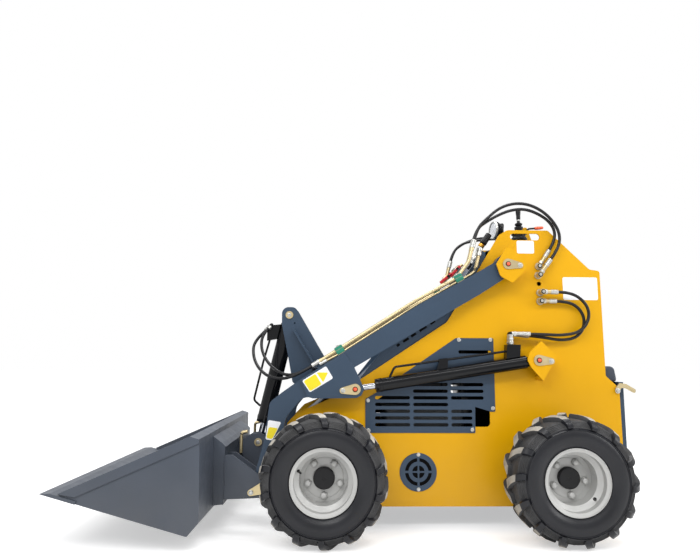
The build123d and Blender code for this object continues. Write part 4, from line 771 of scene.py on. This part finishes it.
# Hand valve on the hood: silver body with hex ends, brass collar and ribbed grip
VALVE_LOW = Vector((0.592, -0.150, 1.336))
VALVE_TOP = Vector((0.656, -0.150, 1.450))
LEVER_TOP = Vector((0.705, -0.150, 1.521))
BODY_ROWS = [
    (0, -4), (9, -4), (13.6, 0), (13.6, 44), (15, 46), (15, 58), (13.6, 60), (13.6, 100),
    (15.6, 102), (15.6, 124), (0, 124),
]
BRASS_ROWS = [
    (0, -1), (16.6, -1), (17.2, 1), (17.2, 6), (16.4, 7), (17.2, 8), (17.2, 15), (15, 17.4),
    (0, 17.4),
]
GRIP_ROWS = [(0, 23), (19.4, 23), (19.6, 26)]
for k in range(6):
    radius, at = 19.6 - 0.45 * k, 28 + 9 * k
    groove = 18.8 - 0.45 * k
    GRIP_ROWS += [(radius, at), (groove, at + 2), (groove, at + 4), (radius, at + 6)]
GRIP_ROWS += [(16.6, 84), (13, 87.4), (0, 88)]
spot = facing(VALVE_LOW, (VALVE_TOP - VALVE_LOW).normalized())
length = (VALVE_TOP - VALVE_LOW).length
forms = [
    (lathe(scaled(BODY_ROWS), 28), spot),
    (hexagon(0.018, 0.018, 0.034), spot),
    (hexagon(0.018, length - 0.02, length - 0.004), spot),
]
piece("hand_valve_body", forms, pale_zinc)
spot = facing(VALVE_TOP, (LEVER_TOP - VALVE_TOP).normalized())
lathed("hand_valve_collar", BRASS_ROWS, spot, brass)
lathed("hand_valve_grip", GRIP_ROWS, spot, black_plastic)

# Joysticks: a silver ring on the stem, a moulded grip and a screwed flange on the console
STICK_RING_ROWS = [(0, 146), (9.6, 146), (9.8, 147), (9.8, 153), (9, 154.4), (0, 154.4)]
STICK_ROWS = [
    (0, 155), (9, 155), (11, 157), (11.6, 168), (11.2, 176), (12.8, 188), (13.6, 200),
    (12.8, 208), (9, 212.6), (0, 213.6),
]
FLANGE = (0.112, 0.112, 0.004)
SCREWS_AT = (-0.047, 0.047)
for side_name, side in SIDES:
    foot = Vector((0.872, side * 0.150, 1.452))
    spot = moved(foot)
    lathed(f"joystick_ring_{side_name}", STICK_RING_ROWS, spot, pale_zinc, "body", 24)
    lathed(f"joystick_grip_{side_name}", STICK_ROWS, spot, black_plastic, "body", 28)
    flange = [block(FLANGE, 0.0016, moved(foot + Vector((0, 0, 0.0022))))]
    piece(f"joystick_flange_{side_name}", flange, black_plastic)
    screws = []
    for dx in SCREWS_AT:
        for dy in SCREWS_AT:
            screws += bolt(foot + Vector((dx, dy, 0.0042)), (0, 0, 1), 0.5, 0.45)
    piece(f"joystick_screws_{side_name}", screws, pale_zinc)

# Work lamp: a ribbed lens in a bright bezel, fins behind it and its bracket's bolts
LAMP = Vector((0.802, 0, 1.582))
LENS_ROWS = [(0, 33.4)]
for k in range(1, 10):
    LENS_ROWS += [(4.8 * k - 1.2, 33.2 - 0.035 * k * k), (4.8 * k, 32.3 - 0.035 * k * k)]
LENS_ROWS += [(45.6, 29.6), (45.6, 28)]
BEZEL_ROWS = [
    (46, 28.6), (46, 34.4), (48.4, 35.6), (50.6, 35.2), (51.8, 33), (51.8, 24), (51, 23.4),
    (46, 28.6),
]
FIN_ROWS = []
for k in range(5):
    root, back = 3.1 * k, 5 * k
    FIN_ROWS += [
        (47.6 - root, 12 - back), (50.4 - root, 11.6 - back), (50.4 - root, 9.8 - back),
        (46.4 - root, 9.4 - back),
    ]
spot = facing(LAMP, Vector((-cos(radians(9)), -sin(radians(9)), 0)))
lathed("lamp_lens", LENS_ROWS, spot, lens, "body", 64, 20)
lathed("lamp_bezel", BEZEL_ROWS, spot, pale_zinc, "body", 64)
lathed("lamp_fins", FIN_ROWS, spot, black_plastic, "body", 48)
forms = []
for side_name, side in SIDES:
    forms += bolt(LAMP + Vector((0, side * 0.0202, -0.09)), (0, side, 0), 0.2, 0.9)
piece("lamp_bolts", forms, pale_zinc)

# Blank stickers: a thin sheet each, with plain yellow patches on two of them
STICKER_T = 0.0004
# Name, distance from the middle in mm, finish, body, and corners in x and z
STICKERS = (
    ("label_top", 262.1, white_label, "body",
     [(819, 1461), (911, 1461), (911, 1392), (819, 1392)]),
    ("label_rear", 262.1, white_label, "body",
     [(1056, 1266), (1240, 1266), (1240, 1146), (1056, 1146)]),
    ("label_knee", 340.1, white_label, "lift_arms",
     [(-300, 724), (-183, 796), (-147, 737), (-261, 667)]),
    ("patch_knee", 340.5, yellow_label, "lift_arms",
     [(-293, 722), (-235, 758), (-203, 707), (-260, 673)]),
    ("patch_small", 340.5, yellow_label, "lift_arms", [(-230, 765), (-172, 765), (-196, 716)]),
    ("label_leg", 330.1, white_label, "lift_arms",
     [(-463, 533), (-399, 523), (-441, 436), (-474, 441)]),
    ("patch_leg", 330.5, yellow_label, "lift_arms",
     [(-459, 500), (-414, 494), (-441, 442), (-470, 447)]),
)


def sticker(name, corners, side, y, surface, body):
    """Flat sheet with rounded corners on a plate that faces away from the middle."""
    form = bmesh.new()
    low = [form.verts.new(mm(x, side * y, z)) for x, z in corners]
    form.faces.new(low)
    bmesh.ops.bevel(form, geom=low, offset=0.004, segments=3, affect="VERTICES")
    sealed(form)
    made = bmesh.ops.extrude_face_region(form, geom=form.faces[:])
    for vert in [g for g in made["geom"] if isinstance(g, bmesh.types.BMVert)]:
        vert.co.y += side * STICKER_T
    piece(name, mesh_of(sealed(form), name), surface, body)


for side_name, side in SIDES:
    for name, y, surface, body, corners in STICKERS:
        sticker(f"{name}_{side_name}", corners, side, y, surface, body)

# Bolts of the grilles, the vents and the latch
GRILLE_OUT = 0.2652
GRILLE_BOLTS = (
    (499, 933), (663, 934), (29, 624), (666, 586), (559, 480), (283, 358), (282, 191), (32, 476),
)
for side_name, side in SIDES:
    forms = []
    for x, z in GRILLE_BOLTS:
        forms += bolt((x / 1000, side * GRILLE_OUT, z / 1000), (0, side, 0), 0.2, 0.85)
    piece(f"grille_bolts_{side_name}", forms, pale_zinc)
latch = bolt((1.312, -0.2702, 0.677), (0, -1, 0), 0.2, 1.15)
piece("latch_bolt", latch, pale_zinc)


# Glands at the mouths of the cylinders
LIFT_Y = 304


def gland(name, base, rod, y, at, bore, shaft, body):
    """Ring round a rod, at a run from the base's pin, all in mm."""
    start = mm(base[0], y, base[1])
    way = (mm(rod[0], y, rod[1]) - start).normalized()
    rows = [
        (shaft, at - 36), (bore, at - 36), (bore + 1.8, at - 34.5), (bore + 1.8, at - 21),
        (bore + 0.4, at - 20), (bore + 0.4, at - 4), (bore - 1.6, at - 0.5), (bore - 6, at + 1),
        (shaft + 5, at + 1), (shaft + 3.4, at + 3.4), (shaft + 0.6, at + 3.4),
        (shaft + 0.6, at - 36),
    ]
    lathed(name, rows, facing(start, way), black, body, 48)


for side_name, side in SIDES:
    ram = f"lift_barrel_{side_name}_body"
    name = f"lift_gland_{side_name}"
    gland(name, LIFT_BASE, LIFT_ROD, side * LIFT_Y, 825.7, 33, 15.2, ram)
gland("tilt_gland", TILT_BASE, TILT_ROD, 0, 602.7, 42, 17.2, "tilt_barrel_body")

# Weld beads, seams and pipes: round bars along runs of points
BEAD_SEED = 7


def bead(points, radius, rough=0.0, closed=False, around=8):
    """Round bar whose thickness varies by a share, seeded, and which may close on itself."""
    rng = random.Random(BEAD_SEED)
    points = [Vector(p) for p in points]
    form = bmesh.new()
    rings = []
    count = len(points)
    for k, point in enumerate(points):
        before = points[k - 1] if k or closed else point
        after = points[(k + 1) % count] if k < count - 1 or closed else point
        way = (after - before).normalized()
        other = Vector((0, 0, 1)) if abs(way.z) < 0.9 else Vector((1, 0, 0))
        side_way = way.cross(other).normalized()
        up_way = side_way.cross(way)
        size = radius * (1 + rough * rng.uniform(-1, 1))
        rings.append([])
        for i in range(around):
            angle = 2 * pi * i / around
            out = side_way * cos(angle) + up_way * sin(angle)
            rings[-1].append(form.verts.new(point + out * size))
    skin(form, rings + rings[:1] if closed else rings)
    if not closed:
        form.faces.new(rings[0])
        form.faces.new(rings[-1])
    return sealed(form), STILL


def stepped(corners, step):
    """Points along straight runs between corners, about a step apart."""
    out = []
    for a, b in zip(corners, corners[1:]):
        a, b = Vector(a), Vector(b)
        count = max(1, round((b - a).length / step))
        out += [a.lerp(b, k / count) for k in range(count)]
    return out + [Vector(corners[-1])]


# Each weld: name, its paint, its body, y in mm and its corners in x and z
WELDS = (
    ("pivot_web", yellow, "body", 262.5, [(770, 1391), (832, 1335), (834, 1293), (800, 1259)]),
    ("base_web", yellow, "body", 262.5, [(898, 728), (972, 850), (956, 866)]),
    ("knee_top", dark, "lift_arms", 330.5, [(-306, 727), (-93, 858)]),
    ("knee_front", dark, "lift_arms", 330.5, [(-93, 858), (-42, 790)]),
    ("tube_end", dark, "lift_arms", 269.3,
     [(-256, 674), (-144, 674), (-144, 786), (-256, 786), (-256, 674)]),
    ("tower_foot", dark, "lift_arms", 63, [(-250, 786), (-146, 786)]),
    ("tower_rib", dark, "lift_arms", 63, [(-239, 788), (-366, 990)]),
    ("hinge_ear_out", bucket_gray, "bucket_group", 347, [(-664, 168), (-664, 366)]),
    ("hinge_ear_in", bucket_gray, "bucket_group", 253, [(-664, 168), (-664, 366)]),
    ("tilt_ear", bucket_gray, "bucket_group", 39, [(-664, 296), (-664, 376)]),
    ("bucket_bar", bucket_gray, "bucket_group", 599, [(-732, 462), (-1235, 244)]),
)
WELD_RIPPLE = 0.0035
WELD_R = 0.0028
for name, paint, body, y, corners in WELDS:
    for side_name, side in SIDES:
        line = stepped([mm(x, side * y, z) for x, z in corners], WELD_RIPPLE)
        piece(f"weld_{name}_{side_name}", [bead(line, WELD_R, 0.16)], paint, body, 60)


# Thigh pad: a crowned cushion with a piped seam near each end
def rounded(corners, times):
    """Closed outline with its corners cut again and again."""
    for turn in range(times):
        cut = []
        for a, b in zip(corners, corners[1:] + corners[:1]):
            for share in (0.25, 0.75):
                keep = 1 - share
                cut.append((a[0] * keep + b[0] * share, a[1] * keep + b[1] * share))
        corners = cut
    return corners


PAD_CORNERS = [
    (1244, 799), (1290, 800), (1327, 799), (1333, 762), (1339, 723), (1318, 721), (1298, 722),
    (1244, 745), (1244, 772),
]
PAD_SPINE = (1290, 764)
PAD_BACK_X = 1244.3
PAD_SEAM_Y = 203
# Distance from the middle and size of each section, from an end to the middle
PAD_STATIONS = [
    (222, 0.72), (221.6, 0.84), (219, 0.93), (214, 0.975), (207, 0.99), (204.5, 0.975),
    (203, 0.965), (201.5, 0.975), (198, 0.995), (180, 1.01), (140, 1.025), (90, 1.035),
    (40, 1.04), (0, 1.04),
]
pad_outline = rounded(PAD_CORNERS, 3)


def pad_ring(y, scale):
    """Section of the cushion at a station, flat against the cover it rests on."""
    ring = []
    for x, z in pad_outline:
        x = PAD_SPINE[0] + (x - PAD_SPINE[0]) * scale
        z = PAD_SPINE[1] + (z - PAD_SPINE[1]) * scale
        ring.append(Vector((max(x, PAD_BACK_X), y, z)) / 1000)
    return ring


stations = PAD_STATIONS + [(-y, scale) for y, scale in reversed(PAD_STATIONS[:-1])]
form = bmesh.new()
rings = [[form.verts.new(p) for p in pad_ring(y, scale)] for y, scale in stations]
skin(form, rings)
form.faces.new(rings[0])
form.faces.new(rings[-1])
seams = [bead(pad_ring(y, 0.985), 0.0022, 0, True) for y in (-PAD_SEAM_Y, PAD_SEAM_Y)]
cushion = piece("thigh_cushion", [(sealed(form), STILL)] + seams, pad_rubber, "body", 50)
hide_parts("thigh_pad")

# Platform: raised tread bars on the side that is stood on
TREAD_BAR = (0.0016, 0.026, 0.0055, 1)
TREAD_TILT = 0.9
form = bmesh.new()
for row in range(15):
    for column in range(11):
        tilt = TREAD_TILT if (row + column) % 2 else -TREAD_TILT
        place = (1.3343, (column - 5) * 0.040, 0.236 + row * 0.0325)
        turn = moved(place) @ Matrix.Rotation(tilt, 4, "X")
        bmesh.ops.create_cube(form, size=1, matrix=turn @ Matrix.Diagonal(TREAD_BAR))
piece("platform_tread", [(bevelled(form, 0.0006, 1), STILL)], dark, "platform_body")

# Instrument pod: a gauge, a key switch and two rockers on the slope that faces the operator
GAUGE_AT, KEY_AT, ROCKERS_AT = (-34, 36), (34, 34), ((22, 76), (46, 76))
GAUGE_ROWS = [(0, 1.2), (20.5, 1.2), (21, 4.4), (23.6, 4.8), (25, 3.4), (25, -1), (0, -1)]
FACE_ROWS = [(0, 1.5), (20.4, 1.5), (20.4, 1.3), (0, 1.3)]
KEY_ROWS = [(0, 3), (7.5, 3), (8, 5), (11.4, 5), (12.4, 3.6), (12.4, -1), (0, -1)]
MARK_R = 0.0166


def on_pod(y, down):
    """Matrix on the pod's rear slope, at y and down from its top edge in mm."""
    place = Vector((946 + 0.311 * down, y, 1586 - 0.951 * down)) / 1000
    return facing(place, Vector((104, 0, 34)).normalized())


dial = on_pod(*GAUGE_AT)
lathed("gauge_bezel", GAUGE_ROWS, dial, black_plastic, "body", 48)
lathed("gauge_face", FACE_ROWS, dial, white_label, "body", 40)
ticks = []
for k in range(11):
    angle = radians(-30 + 24 * k)
    mark = moved((MARK_R * cos(angle), MARK_R * sin(angle), 0.0018))
    turn = dial @ mark @ Matrix.Rotation(angle, 4, "Z")
    ticks.append(block((0.004, 0.0009, 0.0006), 0.0001, turn))
needle = Matrix.Rotation(radians(70), 4, "Z") @ moved((0.006, 0, 0.0023))
ticks.append(block((0.018, 0.0014, 0.0007), 0.0002, dial @ needle))
piece("gauge_marks", ticks, painted_shade_and_ink)
key = on_pod(*KEY_AT)
bow = block((0.0024, 0.018, 0.016), 0.0008, key @ moved((0, 0, 0.011)))
piece("key_switch", [(lathe(scaled(KEY_ROWS), 32), key), bow], pale_zinc)
rockers = []
for y, down in ROCKERS_AT:
    rocker = on_pod(y, down)
    raised = rocker @ moved((0.0045, 0, 0.003))
    rockers.append(block((0.021, 0.015, 0.007), 0.0014, rocker))
    rockers.append(block((0.009, 0.011, 0.006), 0.0014, raised))
piece("rocker_switches", rockers, black_plastic)

# Throttle lever on the pod's side: a dark stem and an orange grip
THROTTLE_RUN = [(0.938, -0.066, 1.560), (0.952, -0.086, 1.572), (0.990, -0.088, 1.575)]
THROTTLE_R = 0.0055
THROTTLE_ROWS = [(0, 0), (7, 0), (9, 4), (9.6, 18), (8.6, 40), (7, 48), (4, 51), (0, 52)]
stem = bead(stepped(THROTTLE_RUN, 0.01), THROTTLE_R)
piece("throttle_stem", [stem], black_plastic, "body", 60)
grip = facing(Vector((0.984, -0.088, 1.5745)), (0.995, 0, 0.09))
lathed("throttle_grip", THROTTLE_ROWS, grip, orange_plastic, "body", 24)

# Bolts of the rear cover
COVER_X = 1.2442
forms = []
for y in (-236, -80, 80, 236):
    for z in (822, 1020, 1216):
        forms += bolt((COVER_X, y / 1000, z / 1000), (1, 0, 0), 0.3, 0.8)
piece("rear_cover_bolts", forms, pale_zinc)

# Elbows of the cylinders' ports over their dark stubs, each with two nuts at its foot
ELBOW_DROP = Vector((0, 0, 0.054))
ELBOW_R = 0.0114
for side_name, side in SIDES:
    for which, route in RAM_ROUTES.items():
        toward, corner = [Vector((x, side * y, z)) / 1000 for x, y, z in route[-2:]]
        foot = corner - ELBOW_DROP
        run = [
            foot, corner - Vector((0, 0, 0.004)), on_leg(corner, toward, 0.004),
            on_leg(corner, toward, 0.058),
        ]
        forms = [
            bead(run, ELBOW_R, around=20),
            (hexagon(0.0152, 0.002, 0.016), facing(foot, (0, 0, 1))),
            (hexagon(0.0145, 0.022, 0.032), facing(foot, (0, 0, 1), 0.4)),
        ]
        name = f"ram_elbow_{which}_{side_name}"
        piece(name, forms, pale_zinc, f"lift_barrel_{side_name}_body", 40)

# Latch levers: bright handles over the CAD rods, in x and z
HANDLE_Y, HANDLE_R = 0.21, 0.0081
HANDLE_RUN = [
    (-0.613, 0.358), (-0.613, 0.400), (-0.613, 0.440), (-0.613, 0.448), (-0.611, 0.454),
    (-0.606, 0.459), (-0.598, 0.4605), (-0.582, 0.463),
]
for side_name, side in SIDES:
    handle = bead([(x, side * HANDLE_Y, z) for x, z in HANDLE_RUN], HANDLE_R, around=20)
    piece(f"latch_handle_{side_name}", [handle], zinc, "bucket_group", 40)

# Vent covers: curved slots in two rings, over a near-black sheet of painted shade
VENT = (0.282, 0.2745)
VENT_RINGS = ((67, 91), (31, 50), (0, 9))
VENT_SHADE_ROWS = [(0, 0.02), (70, 0.02), (70, 0.25), (0, 0.25)]
for side_name, side in SIDES:
    spot = facing((VENT[0], side * GRILLE_OUT, VENT[1]), (0, side, 0))
    forms = []
    for low, high in VENT_RINGS:
        rows = [(low, 0.3), (high, 0.3), (high, 1.6), (low, 1.6)]
        forms.append((lathe(scaled(rows + rows[:1] if low else rows), 72), spot))
    for k in range(4):
        turn = spot @ Matrix.Rotation(pi / 2 * k, 4, "Z")
        outer, inner = [turn @ moved((run, 0, 0.0009)) for run in (0.0585, 0.02)]
        forms.append(block((0.02, 0.011, 0.0011), 0.0002, outer))
        forms.append(block((0.024, 0.008, 0.0011), 0.0002, inner))
    piece(f"vent_cover_{side_name}", forms, dark)
    # Near-black sheet behind the slots: painted shade
    lathed(f"vent_painted_shade_{side_name}", VENT_SHADE_ROWS, spot, painted_shade_and_ink, "body", 48)


# Behind the grilles: fuel tank, hydraulic tank and air cleaner, which show through the slots
def tank(name, corners, low_y, high_y, radius, surface):
    form = prism(scaled(corners), -high_y / 1000, -low_y / 1000)
    form = bevelled(form, radius, 4, 0.6)
    piece(name, [(form, Matrix.Rotation(pi / 2, 4, "X"))], surface, "body", 50)


FUEL_CORNERS = [(40, 520), (520, 520), (540, 560), (540, 980), (420, 1000), (150, 818), (40, 738)]
OIL_CORNERS = [(566, 420), (830, 420), (830, 1120), (566, 1120)]
CLEANER_ROWS = [
    (0, 0), (52, 0), (58, 6), (58, 30), (60, 33), (60, 39), (58, 42), (58, 176), (50, 186),
    (22, 188), (22, 214), (0, 214),
]
tank("fuel_tank", FUEL_CORNERS, 172, 238, 0.02, black_plastic)
tank("oil_tank", OIL_CORNERS, 20, 236, 0.012, black)
spot = facing(Vector((0.25, -0.07, 0.698)), (1, 0, 0))
lathed("air_cleaner", CLEANER_ROWS, spot, black_plastic, "body", 40)

# Hood: side walls that stand on the plates' slope, with near-black blocks of painted shade for the
# ends of its slots
HOOD_WALL = [
    (-9, 738), (95, 868), (418, 1081), (634, 1408), (652, 1398), (654, 1352), (452, 1018),
    (4, 724),
]
HOOD_WALL_Y, HOOD_SLOTS_Y = 0.251, 0.2531
# Each slot's x, z and length
WALL_SLOTS = ((186, 905, 18), (226, 931, 34), (266, 957, 30), (316, 990, 44), (366, 1023, 30))
SLOT_WAY = (322, 0, 212)
for side_name, side in SIDES:
    wall = bevelled(prism(scaled(HOOD_WALL), -0.002, 0.002), 0.0008, 1)
    turn = moved((0, side * HOOD_WALL_Y, 0)) @ Matrix.Rotation(pi / 2, 4, "X")
    piece(f"hood_wall_{side_name}", [(wall, turn)], dark)
    forms = []
    # Each slot end is a near-black block of painted shade
    for x, z, length in WALL_SLOTS:
        at = frame_at((x / 1000, side * HOOD_SLOTS_Y, z / 1000), SLOT_WAY, (0, side, 0))
        forms.append(block((length / 1000, 0.012, 0.0012), 0.0004, at))
    piece(f"hood_wall_slot_shade_{side_name}", forms, painted_shade_and_ink)

# Second row of pipes close to the arms, with a capped coupler at each end
LOW_PIPES = [
    (-183, 822), (-121, 855), (285, 1114), (560, 1270), (578, 1286), (588, 1306), (598, 1345),
    (604, 1372),
]
LOW_PIPE_R = 0.0068
COUPLER_ROWS = [
    (0, 0), (10, 0), (11.4, 1.4), (11.4, 20), (9.6, 21), (9.6, 27), (12, 28), (12, 40),
    (10.6, 41.4), (0, 41.4),
]
for side_name, side in SIDES:
    pipes, couplers = [], []
    for y in (INNER_Y, OUTER_Y):
        run = [mm(x, side * y, z) for x, z in LOW_PIPES]
        pipes.append(bead(run, LOW_PIPE_R, around=16))
        for end, along in ((run[0], run[1]), (run[-1], run[-2])):
            way = (end - along).normalized()
            couplers.append((lathe(scaled(COUPLER_ROWS), 24), facing(end - way * 0.004, way)))
            couplers.append((hexagon(0.0125, 0.004, 0.013), facing(end, way)))
    piece(f"low_pipes_{side_name}", pipes, zinc, "lift_arms", 40)
    piece(f"couplers_{side_name}", couplers, pale_zinc, "lift_arms", 30)


# Floor, backdrop and light: both show white, and the floor keeps the object's shadow
def seen_white(tree, low, high):
    """Level that is high where the camera, a gloss or a clear surface looks, and low for light."""
    info = tree.nodes.new("ShaderNodeLightPath")
    value = info.outputs["Is Camera Ray"]
    for other in ("Is Glossy Ray", "Is Transmission Ray"):
        most = tree.nodes.new("ShaderNodeMath")
        most.operation = "MAXIMUM"
        tree.links.new(value, most.inputs[0])
        tree.links.new(info.outputs[other], most.inputs[1])
        value = most.outputs["Value"]
    level = put(tree.nodes.new("ShaderNodeMapRange"), To_Min=low, To_Max=high)
    tree.links.new(value, level.inputs["Value"])
    return level.outputs["Result"]


FLOOR_REACH = 40
FLOOR_Z = -0.001
pale = Surface("pale")
white = (1, 1, 1, 1)
put(pale.shader, Roughness=0.9, Base_Color=(0.72, 0.72, 0.72, 1), Emission_Color=white)
pale.link(seen_white(pale.tree, 0.0, 0.46), pale.shader.inputs["Emission Strength"])
form = bmesh.new()
corners = ((-1, -1), (1, -1), (1, 1), (-1, 1))
form.faces.new([form.verts.new((x * FLOOR_REACH, y * FLOOR_REACH, FLOOR_Z)) for x, y in corners])
floor_mesh = mesh_of(form, "floor")
floor = linked("floor", floor_mesh)
floor_mesh.materials.append(pale.material)

world = bpy.data.worlds.new("world")
scene.world = world
world.use_nodes = True
background = put(world.node_tree.nodes["Background"], Color=white)
world.node_tree.links.new(seen_white(world.node_tree, 0.7, 1.0), background.inputs["Strength"])


def area_light(name, place, target, size, energy):
    data = bpy.data.lights.new(name, "AREA")
    data.shape = "RECTANGLE"
    data.size, data.size_y = size
    data.energy = energy
    lamp = linked(name, data)
    turn = (Vector(target) - Vector(place)).to_track_quat("-Z", "Y").to_matrix().to_4x4()
    lamp.matrix_world = moved(place) @ turn


area_light("key", (-2.6, -4.2, 4.6), (0.1, 0, 0.7), (3.0, 2.4), 150)
area_light("top", (0.4, 0.4, 5.0), (0.1, 0, 0.6), (4.2, 1.1), 170)
area_light("strip", (1.2, -3.7, 4.2), (0.3, 0, 0.7), (5.5, 0.35), 92)
area_light("side", (5.0, -2.4, 2.4), (0.2, 0, 0.7), (2.4, 2.4), 90)

scene.view_settings.view_transform = "Standard"
